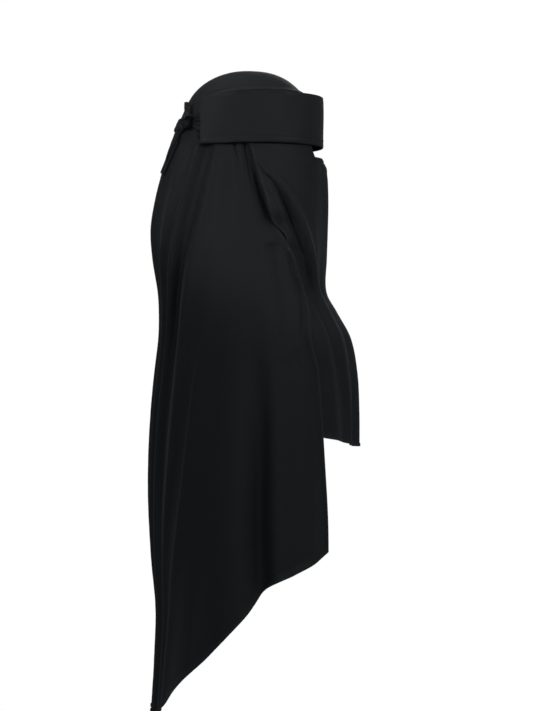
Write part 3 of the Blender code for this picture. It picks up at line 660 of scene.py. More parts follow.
def sheet_object(name, points, gaps, wrap=False, keep=None):
    """A mesh of a grid of points, rows first, with its UV map in metres and its distance to the nearest hem."""
    rows, columns = points.shape[:2]
    last = columns - 1 if wrap else columns
    index = np.arange(rows * last).reshape(rows, last)
    if wrap:
        index = np.concatenate([index, index[:, :1]], axis=1)
    grid = np.arange(rows * columns).reshape(rows, columns)
    corners = [(0, 0), (1, 0), (1, 1), (0, 1)]
    quads = np.stack([index[r:rows - 1 + r, c:columns - 1 + c] for r, c in corners], axis=-1)
    sources = np.stack([grid[r:rows - 1 + r, c:columns - 1 + c] for r, c in corners], axis=-1)
    if keep is not None:
        quads, sources = quads[keep], sources[keep]
    quads, sources = quads.reshape(-1, 4), sources.reshape(-1, 4)
    mesh = bpy.data.meshes.new(name)
    mesh.from_pydata(points[:, :last].reshape(-1, 3).tolist(), [], quads.tolist())
    across = run_lengths(points, 1)
    across = across - across[:, columns // 2, None]
    down = run_lengths(points, 0)
    flat = np.stack([across, -down], axis=-1).reshape(-1, 2)
    layer = mesh.uv_layers.new(name="cloth")
    layer.data.foreach_set("uv", flat[sources.ravel()].ravel())
    mark = mesh.attributes.new("hem_gap", "FLOAT", "POINT")
    mark.data.foreach_set("value", gaps[:, :last].ravel())
    obj = bpy.data.objects.new(name, mesh)
    bpy.context.scene.collection.objects.link(obj)
    return obj


def activate(obj):
    bpy.ops.object.select_all(action="DESELECT")
    obj.select_set(True)
    bpy.context.view_layer.objects.active = obj


def tidy_mesh(obj):
    """Merges doubles, as at the crown's pole, and drops points that no face uses."""
    activate(obj)
    bpy.ops.object.mode_set(mode="EDIT")
    bpy.ops.mesh.select_all(action="SELECT")
    bpy.ops.mesh.remove_doubles(threshold=0.00002)
    bpy.ops.mesh.select_all(action="SELECT")
    bpy.ops.mesh.delete_loose(use_verts=True, use_edges=True, use_faces=False)
    bpy.ops.object.mode_set(mode="OBJECT")


def apply_modifier(obj, kind, **values):
    activate(obj)
    modifier = obj.modifiers.new(kind.title(), kind)
    for name, value in values.items():
        setattr(modifier, name, value)
    bpy.ops.object.modifier_apply(modifier=modifier.name)


def add_primitive(add, size, **options):
    """A primitive at the origin, resized."""
    bpy.ops.object.select_all(action="DESELECT")
    add(location=(0, 0, 0), **options)
    bpy.ops.transform.resize(value=size)
    bpy.ops.object.transform_apply(location=True, rotation=True, scale=True)
    return bpy.context.object


def join_objects(parts, name):
    activate(parts[0])
    for part in parts:
        part.select_set(True)
    bpy.ops.object.join()
    parts[0].name = name
    return parts[0]


def give_thickness(obj, settings):
    """Gives a sheet its thickness, growing outwards, thicker in the hem."""
    gaps = np.empty(len(obj.data.vertices))
    obj.data.attributes["hem_gap"].data.foreach_get("value", gaps)
    inside = gaps >= settings.hem_width - HEM_SLACK
    group = obj.vertex_groups.new(name="hem")
    for weight, chosen in ((1.0, ~inside), (0.0, inside)):
        group.add(np.flatnonzero(chosen).tolist(), weight, "REPLACE")
    apply_modifier(
        obj, "SOLIDIFY", thickness=settings.hem_thickness, offset=1, use_even_offset=False, vertex_group="hem",
        thickness_vertex_group=settings.thickness / settings.hem_thickness)
    obj.data.shade_smooth()


def finish_piece(obj, material, node):
    """Gives a piece its finish and puts it in its node's place."""
    obj.data.materials.clear()
    obj.data.materials.append(material)
    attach(obj, "root")
    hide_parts(node)


def hem_lines(steps, places):
    """Lines of a mesh across its cloth, the hems' own among them: place from -1 to 1, inset from the nearer edge,
    and distance to that edge, or 1 m where a line lies inside the hems."""
    lines = np.concatenate([-np.ones(3), places * 2 - 1, np.ones(3)])
    insets = np.concatenate([steps[:3], np.full(len(places), steps[3]), steps[2::-1]])
    gaps = np.concatenate([steps, np.ones(len(places) - 2), steps[::-1]])
    return lines, insets, gaps


def inset_turn(edge, drop, insets):
    """The angles that insets take up at an edge."""
    return insets / (plan_radius(edge, np.maximum(drop, CROWN_HEIGHT)) * EDGE_STRETCH)


def scarf_grid(settings, steps):
    """Angles and drops of the scarf's mesh, for the crown's rows and then the curtain's, and the curtain's gaps."""
    places = spread_places(settings.columns, lambda p: 1 + 0.5 * ease((p - 0.52) / 0.1))
    lines, insets, gaps = hem_lines(steps, places)

    def angles(drop):
        edge = edge_angle(drop)
        return lines * (edge - inset_turn(edge, drop, insets))

    crown_turn = math.acos(1 - SCARF_BROW_DROP / CROWN_HEIGHT)
    crown_shares = spread_places(CROWN_ROWS, lambda p: 1 + 2.5 * np.exp(-(((p - 0.62) / 0.11) ** 2)))
    crown_drops = CROWN_HEIGHT * (1 - np.cos(crown_turn * crown_shares))
    crown_drops[0] = 1e-7
    corner = np.array([SCARF_CORNER_DROP])
    hem_way = angles(corner) / edge_angle(corner)
    hem = hem_drop(hem_way)
    hem_points = scarf_points(hem_way * edge_angle(hem), hem, np.zeros_like(hem))
    run = np.linalg.norm(np.gradient(hem_points[:, :2], axis=0), axis=1)
    slope = np.sqrt(1 + (np.gradient(hem) / np.maximum(run, 1e-6)) ** 2)
    shares = spread_places(settings.rows, lambda p: 3.0 - 2.3 * ease(p / 0.4))
    fall = hem - steps[3] * slope - SCARF_BROW_DROP
    rows = [np.full(len(lines), drop) for drop in crown_drops]
    rows += [SCARF_BROW_DROP + share * fall for share in shares[1:]]
    rows += [hem - step * slope for step in steps[2::-1]]
    first = edge_angle(np.array(CROWN_HEIGHT))
    brow = first + (np.arange(1, BROW_COLUMNS + 1) / BROW_COLUMNS) * 2 * (math.pi - first)
    angle = [np.concatenate([angles(row), brow]) for row in rows]
    drop = [np.concatenate([row, np.full(BROW_COLUMNS, min(row[0], SCARF_BROW_DROP))]) for row in rows]
    return np.array(angle), np.array(drop), gaps


def make_head_scarf(settings):
    steps = hem_steps(settings)
    angle, drop, side = scarf_grid(settings, steps)
    points = scarf_points(angle, drop, np.full(angle.shape, SCARF_STAND))
    points[0] = points[0].mean(axis=0)
    curtain = len(side)
    gaps = np.ones(angle.shape)
    gaps[CROWN_ROWS:, :curtain] = side
    down = run_lengths(points[:, :curtain], 0)
    gaps[:, :curtain] = np.minimum(down[-1] - down, gaps[:, :curtain])
    for k, step in enumerate(steps):
        gaps[-1 - k, :curtain] = np.minimum(step, side)
    keep = np.ones((len(angle) - 1, len(angle[0]) - 1), bool)
    keep[CROWN_ROWS:, curtain - 1:] = False
    scarf = sheet_object("draped_head_scarf", points, gaps, wrap=True, keep=keep)
    tidy_mesh(scarf)
    give_thickness(scarf, settings)
    material = cloth_material("scarf_chiffon", settings.colour, settings.roughness, hem=settings.hem_width)
    finish_piece(scarf, material, "head_scarf")


def make_face_veil(settings):
    steps = hem_steps(settings)
    lines, insets, side = hem_lines(steps, spread_places(VEIL_COLUMNS, lambda p: 1 + 0.5 * np.abs(2 * p - 1)))
    top = face_top_drop(math.pi + lines * (math.pi - face_edge_angle(np.array(CROWN_HEIGHT))))
    bottom = FACE_VEIL_DROP - FACE_VEIL_CORNER_LIFT * lines**2
    shares = spread_places(VEIL_ROWS, lambda p: 1.5 - 0.6 * ease(p / 0.5))
    rows = [top + step for step in steps[:3]]
    rows += [top + steps[3] + share * (bottom - top - 2 * steps[3]) for share in shares]
    rows += [bottom - step for step in steps[2::-1]]
    drop = np.array(rows)
    edge = face_edge_angle(drop)
    angle = math.pi + lines * (math.pi - edge - inset_turn(edge, drop, insets))
    points = face_points(angle, drop, VEIL_STAND)
    level = np.concatenate([steps, np.ones(len(rows) - 8), steps[::-1]])
    veil = sheet_object("draped_face_veil", points, np.minimum(side, level[:, None]))
    give_thickness(veil, settings)
    colour = [c * 1.05 for c in settings.colour]
    material = cloth_material("face_veil_chiffon", colour, settings.roughness, hem=settings.hem_width)
    finish_piece(veil, material, "face_veil")


def band_points(way, rise, out):
    """Points of the band: way from -1 to 1 round the head, rise from 0 at its lower edge to 1, and out from its
    inside."""
    angle = math.pi + way * (math.pi - BAND_END_ANGLE)

    def plan(at):
        middle = np.full(at.shape, BAND_BOTTOM_DROP + BAND_END_DIP / 2)
        radius = plan_radius(at, middle) + 2 * CLOTH_WALL + LAYER_GAP + OVERLAP_GAP
        return np.stack([-radius * np.sin(at), radius * np.cos(at)], axis=-1)

    place = plan(angle)
    along = plan(angle + BAND_STEP) - plan(angle - BAND_STEP)
    along /= np.linalg.norm(along, axis=-1, keepdims=True)
    normal = np.stack([-along[..., 1], along[..., 0]], axis=-1)
    normal *= np.sign((normal * place).sum(axis=-1, keepdims=True))
    top = band_top(angle)
    bottom = BAND_BOTTOM_DROP + BAND_EDGE_DROP + BAND_END_DIP / 3 * np.abs(way) ** 6
    height = np.expand_dims(-(bottom + rise * (top - bottom)), -1)
    return np.concatenate([place + normal * np.expand_dims(out, -1), height], axis=-1)


def band_relief(way, rise, settings):
    """The outer face: a groove at the stitch line, a soft turned edge below it and slight waves."""
    up = rise * BAND_HEIGHT
    line = settings.stitch_rise
    groove = -0.00030 * np.exp(-(((up - line) / 0.0008) ** 2))
    turned = 0.00010 * np.exp(-(((up - line * 0.5) / (line * 0.38)) ** 2))
    above = 0.00012 * np.exp(-(((up - line - 0.0030) / 0.0022) ** 2))
    waves = 0.00045 * np.sin(way * 17 + up * 55) * np.sin(way * 7.0 + 1.3) + 0.0003 * np.sin(way * 31 - up * 70)
    pucker = 0.00010 * np.sin(way * 410) * np.exp(-(((up - line) / 0.003) ** 2))
    top_edge = -0.0004 * np.exp(-(((BAND_HEIGHT - up) / 0.003) ** 2))
    return groove + turned + above + waves + pucker + top_edge


def make_band(settings):
    """A strip with rounded edges and ends: its outer face, over the top edge, its inner face and back under."""
    end = 1.6 * settings.edge_radius / (BAND_LENGTH / 2)
    ways = np.linspace(-1, 1, BAND_COLUMNS + 1)
    ends = np.array([0, end * 0.12, end * 0.4])
    ways = np.concatenate([ends - 1, ways[(ways > -1 + end) & (ways < 1 - end)], 1 - ends[::-1]])
    half = BAND_WALL / 2
    corner = settings.edge_radius / BAND_HEIGHT
    face = corner + spread_places(34, lambda p: 1 + 3.0 * np.exp(-(((p - 0.13) / 0.07) ** 2))) * (1 - 2 * corner)
    inside = corner + np.linspace(1, 0, 15) * (1 - 2 * corner)
    turns = math.pi * np.arange(1, 5) / 5
    rises = np.concatenate([face, 1 - corner + corner * np.sin(turns), inside, corner - corner * np.sin(turns)])
    outs = half * np.concatenate([np.ones(len(face)), np.cos(turns), -np.ones(len(inside)), -np.cos(turns)])
    way, rise = np.meshgrid(ways, rises, indexing="ij")
    from_end = np.clip((1 - np.abs(way)) / end, 0, 1)
    slim = np.sqrt(np.clip(1 - (1 - from_end) ** 2, 0.02, 1))
    relief = band_relief(way, rise, settings) * (np.arange(len(rises)) < len(face)) * slim
    points = band_points(way, rise, half + outs * slim + relief)
    index = np.arange(way.size).reshape(way.shape)
    after = np.roll(index, -1, axis=1)
    faces = np.stack([index[:-1], after[:-1], after[1:], index[1:]], axis=-1).reshape(-1, 4).tolist()
    faces += [index[0, ::-1].tolist(), index[-1].tolist()]
    mesh = bpy.data.meshes.new("stitched_forehead_band")
    mesh.from_pydata(points.reshape(-1, 3).tolist(), [], faces)
    band = bpy.data.objects.new("stitched_forehead_band", mesh)
    bpy.context.scene.collection.objects.link(band)
    run = run_lengths(points, 0)[:, :1]
    flat = np.stack(np.broadcast_arrays(run, rise * BAND_HEIGHT), axis=-1).reshape(-1, 2)
    loops = np.empty(len(mesh.loops), int)
    mesh.loops.foreach_get("vertex_index", loops)
    mesh.uv_layers.new(name="cloth").data.foreach_set("uv", flat[loops].ravel())
    activate(band)
    bpy.ops.object.mode_set(mode="EDIT")
    bpy.ops.mesh.select_all(action="SELECT")
    bpy.ops.mesh.normals_make_consistent(inside=False)
    bpy.ops.object.mode_set(mode="OBJECT")
    mesh.shade_smooth()
    material = cloth_material("band_crepe", settings.colour, 0.60, grain=0.7)
    finish_piece(band, material, "forehead_band")


def place_of_stitch(way, rise, settings):
    """Middle, direction along the band, and outward direction at a place on the band's outer face."""
    ways = np.array([way - 0.002, way, way + 0.002])
    rises = np.full(3, rise)
    out = BAND_WALL + band_relief(ways, rises, settings)
    near = [Vector(p) for p in band_points(ways, rises, out)]
    along = (near[2] - near[0]).normalized()
    outward = along.cross(Vector((0, 0, 1)))
    if outward.dot(Vector((near[1].x, near[1].y, 0))) < 0:
        outward = -outward
    return near[1], along, outward.normalized()


def make_stitches(settings):
    """Thread stitches along the band's lower edge, and three bar tacks at its near rear corner."""
    stitch = add_primitive(
        bpy.ops.mesh.primitive_uv_sphere_add, (settings.stitch_length, 0.00075, 0.0005),
        segments=6, ring_count=5, radius=0.5)
    count = int(BAND_SEWN_LENGTH / settings.stitch_pitch)
    line = settings.stitch_rise / BAND_HEIGHT
    spots = [(-0.985 + 1.97 * (k + 0.5) / count, line, 0.0, 1.0) for k in range(count)]
    spots += [(-0.988 + 0.0150 * k, line * 0.72, math.pi / 2, 2.0) for k in range(3)]
    copies = []
    for way, rise, tilt, size in spots:
        middle, along, outward = place_of_stitch(way, rise, settings)
        turn = Matrix((along, outward.cross(along), outward)).transposed() @ Matrix.Rotation(tilt, 3, "Z")
        copy = bpy.data.objects.new("band_stitch", stitch.data.copy())
        copy.data.transform(Matrix.Translation(middle + outward * 0.0001) @ turn.to_4x4() @ Matrix.Scale(size, 4))
        bpy.context.scene.collection.objects.link(copy)
        copies.append(copy)
    bpy.data.objects.remove(stitch)
    row = join_objects(copies, "band_stitches")
    row.data.shade_smooth()
    row.data.materials.clear()
    row.data.materials.append(thread_material(settings.colour))
    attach(row, "root")


def tie_object(name, points, settings):
    obj = sheet_object(name, points, np.ones(points.shape[:2]))
    apply_modifier(obj, "SOLIDIFY", thickness=settings.thickness, offset=1)
    obj.data.shade_smooth()
    return obj


def make_strap(side, settings, material):
    """A tie from under the band's end to the knot, gathered into pleats."""
    columns, rows = (34 if side > 0 else 96), 84
    band_end = side * (BAND_END_ANGLE + STRAP_TUCK_ANGLE)
    knot_end = STRAP_RIGHT_END if side > 0 else STRAP_LEFT_END
    way, down = np.meshgrid(np.linspace(0, 1, columns + 1)[::-side], np.linspace(0, 1, rows + 1))
    narrowed = ease((way - 0.35) / 0.65) if side > 0 else ease(way * 1.6)
    height = STRAP_END_HEIGHT + narrowed * (STRAP_KNOT_HEIGHT - STRAP_END_HEIGHT)
    middle = STRAP_BAND_DROP + way * (KNOT_DROP - STRAP_BAND_DROP)
    drop = middle + height * (down - 0.5)
    angle = band_end + way * (knot_end - band_end)
    wave = np.abs(np.sin(math.pi * (settings.pleats * down + 0.16 * np.sin(way * 5 + down * 7))))
    free = ease((BAND_END_ANGLE - np.abs(angle)) / math.radians(3.5))
    slack = (1 if side > 0 else 0.5) * height / STRAP_END_HEIGHT
    crest = wave**1.3 * (0.78 + 0.22 * np.sin(down * 17 + 1.0)) * ease(np.minimum(down, 1 - down) * 2 * 5)
    pleat = settings.pleat_height * (0.13 + 0.87 * free) * slack * crest
    points = scarf_points(angle, drop, CLOTH_WALL + OVERLAP_GAP + pleat)
    word = "right" if side > 0 else "left"
    strap = tie_object(f"gathered_tie_strap_{word}", points, settings)
    finish_piece(strap, material, f"tie_strap_{word}")
    return strap


def knot_frame():
    """The knot's centre, and its directions along the strap, up, and out from the head."""
    base = scarf_points(KNOT_ANGLE, KNOT_DROP, CLOTH_WALL + LAYER_GAP)
    far = scarf_points(KNOT_ANGLE, KNOT_DROP, 1.0)
    out = Vector(far - base).normalized()
    across = out.cross(Vector((0, 0, 1))).normalized()
    return Vector(base) + out * KNOT_HALF_DEPTH, across, across.cross(out), out


def add_lump(across, up, out, size, turn=0.0):
    """One rounded lump of the knot, in the knot's own directions."""
    lump = add_primitive(bpy.ops.mesh.primitive_uv_sphere_add, size, segments=32, ring_count=20, radius=1)
    lump.data.transform(Matrix.Translation((across, up, out)) @ Matrix.Rotation(turn, 4, "Z"))
    return lump


def add_wrap(across, up, out, radii, thick, flat, turn, lean):
    """One turn of cloth round the knot: a flattened ring."""
    ring = add_primitive(
        bpy.ops.mesh.primitive_torus_add, (*radii, flat),
        major_segments=56, minor_segments=18, major_radius=1, minor_radius=thick)
    place = Matrix.Translation((across, up, out))
    ring.data.transform(place @ Matrix.Rotation(turn, 4, "Z") @ Matrix.Rotation(lean, 4, "Y"))
    return ring


def vertex_values(mesh, name):
    values = np.empty(len(mesh.vertices) * 3)
    mesh.vertices.foreach_get(name, values)
    return values.reshape(-1, 3)


def make_knot(material):
    """Two ties that cross and wrap: lumps and turns of cloth grown into one, then creased."""
    centre, across, up, out = knot_frame()
    parts = [
        add_lump(0.0040, 0.0046, -0.0006, (0.0072, 0.0078, 0.0076), math.radians(-28)),
        add_lump(0.0026, -0.0054, -0.0012, (0.0076, 0.0062, 0.0074), math.radians(18)),
        add_lump(0.0098, -0.0006, -0.0022, (0.0066, 0.0078, 0.0062)),
        add_wrap(0.0012, 0.0004, -0.0006, (0.0080, 0.0106), 0.30, 0.0078, math.radians(38), math.radians(90)),
    ]
    knot = join_objects(parts, "wrapped_back_knot")
    apply_modifier(knot, "REMESH", mode="VOXEL", voxel_size=0.0006)
    apply_modifier(knot, "SMOOTH", factor=0.5, iterations=5)
    mesh = knot.data
    co, normals = vertex_values(mesh, "co"), vertex_values(mesh, "normal")
    for flat, reach in KNOT_FACETS:
        flat = np.array(flat) / np.linalg.norm(flat)
        beyond = np.maximum(co @ flat - reach, 0.0)
        co = co - 0.85 * beyond[:, None] * flat
    outer = ease((co[:, 2] + 0.004) / 0.006)
    fan = np.arctan2(co[:, 1] + 0.0004, co[:, 0] + 0.0066)
    creases = np.sin(fan * 10 + co[:, 0] * 90) + 0.5 * np.sin(fan * 21 + 1.3)
    parting = np.exp(-(((co[:, 1] + 0.0012 + 0.55 * (co[:, 0] - 0.003)) / 0.0011) ** 2))
    co = co + normals * (outer * (creases * 0.00045 - parting * 0.0017))[:, None]
    low = np.array([-KNOT_HALF_WIDTH, -KNOT_HALF_HEIGHT, -KNOT_HALF_DEPTH + 0.0002])
    co = np.maximum(co, low)
    axes = np.array([list(across), list(up), list(out)])
    co = co @ axes + np.array(list(centre))
    mesh.vertices.foreach_set("co", co.ravel())
    mesh.update()
    mesh.shade_smooth()
    finish_piece(knot, material, "back_knot")


def make_tail(name, node, length, width, downwards, path, fold, stand, settings, material):
    """A loose tie end that leaves the knot and lies on the scarf, folded along its length."""
    columns, rows = 22, 56
    start = KNOT_DROP + downwards * KNOT_HALF_HEIGHT * KNOT_TUCK * 0.9
    across, share = np.meshgrid(np.linspace(0, 1, columns + 1), np.linspace(0, 1, rows + 1))
    slanted = share + (across - 0.5) * 0.10 * share**3
    drop = start + downwards * slanted * length
    radius = plan_radius(np.full(drop.shape, KNOT_ANGLE), drop)
    spread = 0.62 + 0.38 * ease(share * 1.4)
    offset = downwards * width * (across - 0.5) * spread
    angle = np.radians(table_curve(*zip(*path), share)) + offset / radius
    rolled = fold * np.exp(-(((across - 0.32) / 0.13) ** 2)) * (0.5 + 0.5 * ease(1.6 - share * 1.5))
    second = 0.6 * fold * np.exp(-(((across - 0.74) / 0.10) ** 2)) * ease(share * 3)
    gather = 0.0006 * np.sin(across * 31) * ease(1 - share * 2.2)
    tip = 0.0012 * ease((share - 0.7) / 0.3) * (0.5 + 0.5 * np.sin(across * 5 + 0.8))
    clear = CLOTH_WALL + OVERLAP_GAP + stand * (0.3 + 0.7 * share) + np.maximum(rolled + second + gather + tip, 0)
    points = scarf_points(angle, drop, clear)
    tail = tie_object(name, points, settings)
    finish_piece(tail, material, node)
    return tail


# Finishes

def set_inputs(tree, node, inputs):
    """Sets a node's inputs, each to a value, or links it from a socket."""
    for name, value in inputs.items():
        if isinstance(value, bpy.types.NodeSocket):
            tree.links.new(value, node.inputs[name])
        else:
            node.inputs[name].default_value = value


def add_node(tree, kind, inputs=None, **settings):
    node = tree.nodes.new("ShaderNode" + kind)
    for name, value in settings.items():
        setattr(node, name, value)
    set_inputs(tree, node, inputs or {})
    return node


def calculate(tree, operation, *values, clamp=False):
    """Result of a Math node. Each value is a socket or a number."""
    return add_node(tree, "Math", dict(enumerate(values)), operation=operation, use_clamp=clamp).outputs[0]


def add_noise(tree, **inputs):
    """Noise, on Object coordinates where no others are given."""
    if "Vector" not in inputs:
        inputs["Vector"] = add_node(tree, "TexCoord").outputs["Object"]
    return add_node(tree, "TexNoise", inputs).outputs["Fac"]


def mix_colours(tree, factor, first, second):
    return add_node(tree, "Mix", {"Factor": factor, "A": first, "B": second}, data_type="RGBA").outputs["Result"]


def add_bump(tree, height, strength, distance, **inputs):
    inputs.update({"Height": height, "Strength": strength, "Distance": distance})
    return add_node(tree, "Bump", inputs).outputs["Normal"]


def shaded(colour, share):
    return (*[c * share for c in colour], 1)


def cloth_place(tree):
    """Places on the UV map, in metres, as X and Y."""
    uv = add_node(tree, "UVMap", uv_map="cloth")
    return add_node(tree, "SeparateXYZ", {"Vector": uv.outputs["UV"]}).outputs


def new_group(name, inputs, outputs):
    """A group of numbers: its tree, the sockets of its inputs and its output node."""
    group = bpy.data.node_groups.new(name, "ShaderNodeTree")
    for label, value in inputs.items():
        group.interface.new_socket(name=label, in_out="INPUT", socket_type="NodeSocketFloat").default_value = value
    for label in outputs:
        group.interface.new_socket(name=label, in_out="OUTPUT", socket_type="NodeSocketFloat")
    return group, group.nodes.new("NodeGroupInput").outputs, group.nodes.new("NodeGroupOutput")


def weave_group(name):
    """Crepe weave: crossed threads on the UV map in metres, over a pebbled grain on Object coordinates."""
    group, given, result = new_group(name, {"Threads per metre": 2200.0, "Grain": 1.0}, ("Height", "Tint"))
    place = cloth_place(group)
    threads = []
    for axis in ("X", "Y"):
        turned = calculate(group, "MULTIPLY", place[axis], given["Threads per metre"])
        wave = calculate(group, "SINE", calculate(group, "MULTIPLY", turned, math.pi))
        threads.append(calculate(group, "ABSOLUTE", wave))
    crossed = calculate(group, "MULTIPLY", *threads)
    grain = calculate(group, "MULTIPLY", add_noise(group, Scale=620.0, Detail=2.0), given["Grain"])
    height = calculate(group, "ADD", calculate(group, "MULTIPLY", crossed, 0.35), grain)
    set_inputs(group, result, {"Height": height, "Tint": add_noise(group, Scale=34.0, Detail=4.0)})
    return group


def rumple_group(name):
    """Soft unevenness of hanging cloth: waves that are longer up and down than across."""
    group, given, result = new_group(name, {"Waves per metre": 16.0}, ("Height",))
    place = add_node(group, "TexCoord").outputs["Object"]
    stretch = add_node(group, "Mapping", {"Vector": place, "Scale": (1.0, 1.0, 0.28)})
    noise = add_noise(
        group, Vector=stretch.outputs["Vector"], Scale=given["Waves per metre"], Detail=3.0, Roughness=0.45)
    set_inputs(group, result, {"Height": noise})
    return group


def hem_group(name):
    """A turned hem: a line of stitches just inside its inner fold, as a height and a mask, and the hem's own strip
    as a second mask, Fold, which the cloth's finish paints lighter as a painted highlight of the rolled edge.
    """
    group, given, result = new_group(
        name, {"Line": 0.005, "Stitches per metre": 340.0}, ("Height", "Mask", "Fold"))
    gap = add_node(group, "Attribute", attribute_name="hem_gap").outputs["Fac"]
    off_line = calculate(group, "ABSOLUTE", calculate(group, "SUBTRACT", gap, given["Line"]))
    line = calculate(group, "SUBTRACT", 1.0, calculate(group, "DIVIDE", off_line, 0.0006), clamp=True)
    place = cloth_place(group)
    run = calculate(group, "ADD", place["X"], place["Y"])
    turned = calculate(group, "MULTIPLY", run, given["Stitches per metre"])
    dash = calculate(group, "SINE", calculate(group, "MULTIPLY", turned, 2 * math.pi))
    dash = calculate(group, "MULTIPLY", calculate(group, "ADD", dash, 0.35), 3.0, clamp=True)
    inside = calculate(group, "SUBTRACT", given["Line"], gap)
    set_inputs(group, result, {
        # Fold covers the strip from the edge to the stitch line; the finish paints it lighter, a painted highlight
        # of the rolled hem
        "Fold": calculate(group, "MULTIPLY", inside, 1200.0, clamp=True),
        "Height": calculate(group, "MULTIPLY", line, -1.0),
        "Mask": calculate(group, "MULTIPLY", line, dash),
    })
    return group


def place_group(tree, name, build, **values):
    """A node of a group, which is built where it is first used. Returns the node's outputs."""
    group = bpy.data.node_groups.get(name) or build(name)
    return add_node(tree, "Group", values, node_tree=group).outputs


def new_material(name):
    material = bpy.data.materials.new(name)
    material.use_nodes = True
    return material, material.node_tree, material.node_tree.nodes["Principled BSDF"]


def cloth_material(name, colour, roughness, hem=None, grain=1.0):
    """Black crepe: weave, soft rumple, slight changes of tone, and a stitched hem where there is one, whose rolled
    strip gets a painted highlight.
    """
    material, tree, shader = new_material(name)
    weave = place_group(tree, "Crepe weave", weave_group, Grain=grain)
    rumple = place_group(tree, "Cloth rumple", rumple_group)
    finish = mix_colours(tree, weave["Tint"], shaded(colour, 0.86), shaded(colour, 1.14))
    normal = add_bump(tree, weave["Height"], 0.30, 0.00025)
    normal = add_bump(tree, rumple["Height"], 0.55, 0.0022, Normal=normal)
    if hem:
        stitches = place_group(tree, "Hem stitches", hem_group, Line=hem - 0.0014)
        # Painted highlight: the hem's strip (Fold) is drawn 1.4 times lighter; the stitch dashes (Mask) get a
        # lighter thread colour, 1.9 times
        for label, share in (("Fold", 1.4), ("Mask", 1.9)):
            finish = mix_colours(tree, stitches[label], finish, shaded(colour, share))
        normal = add_bump(tree, stitches["Height"], 0.6, 0.0004, Normal=normal)
    worn = add_node(
        tree, "MapRange", {"Value": weave["Tint"], "To Min": roughness - 0.05, "To Max": roughness + 0.07})
    set_inputs(tree, shader, {
        "Base Color": finish, "Normal": normal, "Roughness": worn.outputs["Result"], "Specular IOR Level": 0.22,
        "Sheen Weight": 0.035, "Sheen Roughness": 0.45, "Sheen Tint": (0.75, 0.85, 1.0, 1.0),
    })
    return material


def thread_material(colour):
    """Sewing thread: the band's black, a little smoother, with its twist as fine waves."""
    material, tree, shader = new_material("sewing_thread")
    twist = add_noise(tree, Scale=1500.0)
    set_inputs(tree, shader, {
        "Base Color": mix_colours(tree, twist, shaded(colour, 1.5), shaded(colour, 2.2)),
        "Normal": add_bump(tree, twist, 1.0, 0.0002), "Roughness": 0.5, "Specular IOR Level": 0.35,
    })
    return material


# Stage

# Round soft lights: name, place, target, size and width of beam in degrees
LIGHTS = (
    ("key", (-1.85, -1.25, 0.95), (0.0, 0.0, -0.35), 0.9, 180),
    ("front", (-1.0, -1.5, 0.9), (0.0, 0.0, -0.35), 0.9, 180),
    ("fill", (-1.5, 1.2, 0.85), (0.0, 0.0, -0.25), 0.9, 180),
    ("rear", (-1.15, 1.15, 0.55), (-0.06, 0.04, -0.06), 0.30, 22),
    ("top", (0.0, 0.3, 1.25), (0.0, 0.0, 0.0), 0.9, 180),
    ("side", (1.9, -0.5, 0.8), (0.0, 0.0, -0.35), 0.9, 180),
)


def add_area_light(name, place, target, size, spread, power):
    data = bpy.data.lights.new(name, "AREA")
    data.shape = "DISK"
    data.size = size
    data.energy = power
    data.spread = math.radians(spread)
    light = bpy.data.objects.new(name, data)
    light.location = place
    light.rotation_euler = (Vector(target) - Vector(place)).to_track_quat("-Z", "Y").to_euler()
    bpy.context.scene.collection.objects.link(light)


def mix_shaders(tree, factor, first, second):
    return add_node(tree, "MixShader", {"Fac": factor, 1: first, 2: second}).outputs["Shader"]


def make_floor(settings):
    bpy.ops.object.select_all(action="DESELECT")
    bpy.ops.mesh.primitive_circle_add(
        vertices=96, radius=settings.floor_radius, fill_type="NGON", location=(0, 0, -settings.floor_drop))
    floor = bpy.context.object
    floor.name = "pale_floor"
    material, tree, shader = new_material("pale_floor")
    tone = mix_colours(tree, add_noise(tree, Scale=6.0), (0.84, 0.84, 0.84, 1), (0.88, 0.88, 0.88, 1))
    set_inputs(tree, shader, {"Base Color": tone, "Roughness": 0.9})
    seen = add_node(tree, "Emission", {"Color": (0.80, 0.81, 0.82, 1)}).outputs["Emission"]
    share = calculate(tree, "MULTIPLY", add_node(tree, "LightPath").outputs["Is Camera Ray"], 0.75)
    either = mix_shaders(tree, share, shader.outputs["BSDF"], seen)
    set_inputs(tree, tree.nodes["Material Output"], {"Surface": either})
    floor.data.materials.append(material)


def make_sky(strength):
    """White to the camera, and a weaker even light on the cloth."""
    world = bpy.data.worlds.new("studio")
    bpy.context.scene.world = world
    world.use_nodes = True
    tree = world.node_tree
    tree.nodes.clear()
    seen = add_node(tree, "Background", {"Color": (1.0, 1.0, 1.0, 1)}).outputs["Background"]
    lit = add_node(tree, "Background", {"Color": (0.93, 0.97, 1.0, 1), "Strength": strength}).outputs["Background"]
    to_camera = add_node(tree, "LightPath").outputs["Is Camera Ray"]
    add_node(tree, "OutputWorld", {"Surface": mix_shaders(tree, to_camera, lit, seen)})


def make_camera():
    data = bpy.data.cameras.new("camera")
    data.lens = CAMERA_LENS_MM
    data.sensor_width = 36.0
    camera = bpy.data.objects.new("camera", data)
    camera.location = CAMERA_PLACE
    camera.rotation_euler = (math.radians(90), 0, math.radians(-90))
    bpy.context.scene.collection.objects.link(camera)
    bpy.context.scene.camera = camera


class HEADSCARF_OT_stage(Operator):
    """Set the camera, the pale floor and the soft lights"""
    bl_idname = "headscarf.stage"
    bl_label = "Set the stage"

    def execute(self, context):
        settings = context.scene.headscarf_stage
        make_camera()
        make_floor(settings)
        make_sky(settings.sky)
        for name, *placing in LIGHTS:
            add_area_light(f"{name}_light", *placing, getattr(settings, name))
        context.scene.view_settings.view_transform = "Standard"
        return {"FINISHED"}


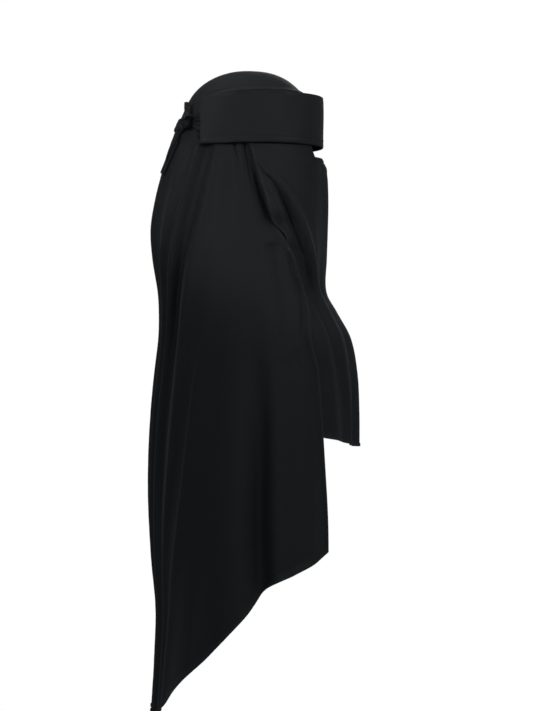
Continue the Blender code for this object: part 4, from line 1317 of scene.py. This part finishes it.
class HEADSCARF_OT_scarf(Operator):
    """Drape the headscarf over the crown and down the back and sides"""
    bl_idname = "headscarf.scarf"
    bl_label = "Head scarf"

    def execute(self, context):
        make_head_scarf(context.scene.headscarf_cloth)
        return {"FINISHED"}


class HEADSCARF_OT_face_veil(Operator):
    """Hang the face veil from the band, under the eye slit"""
    bl_idname = "headscarf.face_veil"
    bl_label = "Face veil"

    def execute(self, context):
        make_face_veil(context.scene.headscarf_cloth)
        return {"FINISHED"}


class HEADSCARF_OT_band(Operator):
    """Bend the folded forehead band and sew its lower edge"""
    bl_idname = "headscarf.band"
    bl_label = "Forehead band"

    def execute(self, context):
        settings = context.scene.headscarf_band
        make_band(settings)
        make_stitches(settings)
        return {"FINISHED"}


class HEADSCARF_OT_ties(Operator):
    """Gather the two straps, tie the knot and lay its ends"""
    bl_idname = "headscarf.ties"
    bl_label = "Ties and knot"

    def execute(self, context):
        settings = context.scene.headscarf_ties
        material = cloth_material("tie_crepe", settings.colour, 0.64)
        for side, flat in ((1, (0.036, 0.062)), (-1, (0.165, 0.044))):
            strap = make_strap(side, settings, material)
        make_knot(material)
        for word, flat, *form in TIE_ENDS:
            tail = make_tail(f"folded_tie_tail_{word}", f"tie_tail_{word}", *form, settings, material)
        return {"FINISHED"}


class HEADSCARF_PT_panel(Panel):
    """Settings and steps of the headscarf"""
    bl_label = "Headscarf"
    bl_idname = "HEADSCARF_PT_panel"
    bl_space_type = "VIEW_3D"
    bl_region_type = "UI"
    bl_category = "Headscarf"

    def draw(self, context):
        for name, step in STEPS:
            box = self.layout.box()
            settings = getattr(context.scene, name)
            for prop in settings.bl_rna.properties:
                if prop.identifier not in ("rna_type", "name"):
                    box.prop(settings, prop.identifier)
            box.operator(step.bl_idname)


STEPS = (
    ("headscarf_cloth", HEADSCARF_OT_scarf),
    ("headscarf_cloth", HEADSCARF_OT_face_veil),
    ("headscarf_band", HEADSCARF_OT_band),
    ("headscarf_ties", HEADSCARF_OT_ties),
    ("headscarf_stage", HEADSCARF_OT_stage),
)
SETTINGS = {
    "headscarf_cloth": ClothSettings,
    "headscarf_band": BandSettings,
    "headscarf_ties": TieSettings,
    "headscarf_stage": StageSettings,
}
CLASSES = (*SETTINGS.values(), *[step for _, step in STEPS], HEADSCARF_PT_panel)


def register():
    for cls in CLASSES:
        bpy.utils.register_class(cls)
    for name, cls in SETTINGS.items():
        setattr(bpy.types.Scene, name, PointerProperty(type=cls))


def unregister():
    for name in SETTINGS:
        delattr(bpy.types.Scene, name)
    for cls in reversed(CLASSES):
        bpy.utils.unregister_class(cls)


def main():
    register()
    bpy.ops.headscarf.stage()
    bpy.ops.headscarf.scarf()
    bpy.ops.headscarf.face_veil()
    bpy.ops.headscarf.band()
    bpy.ops.headscarf.ties()


if __name__ == "__main__":
    main()
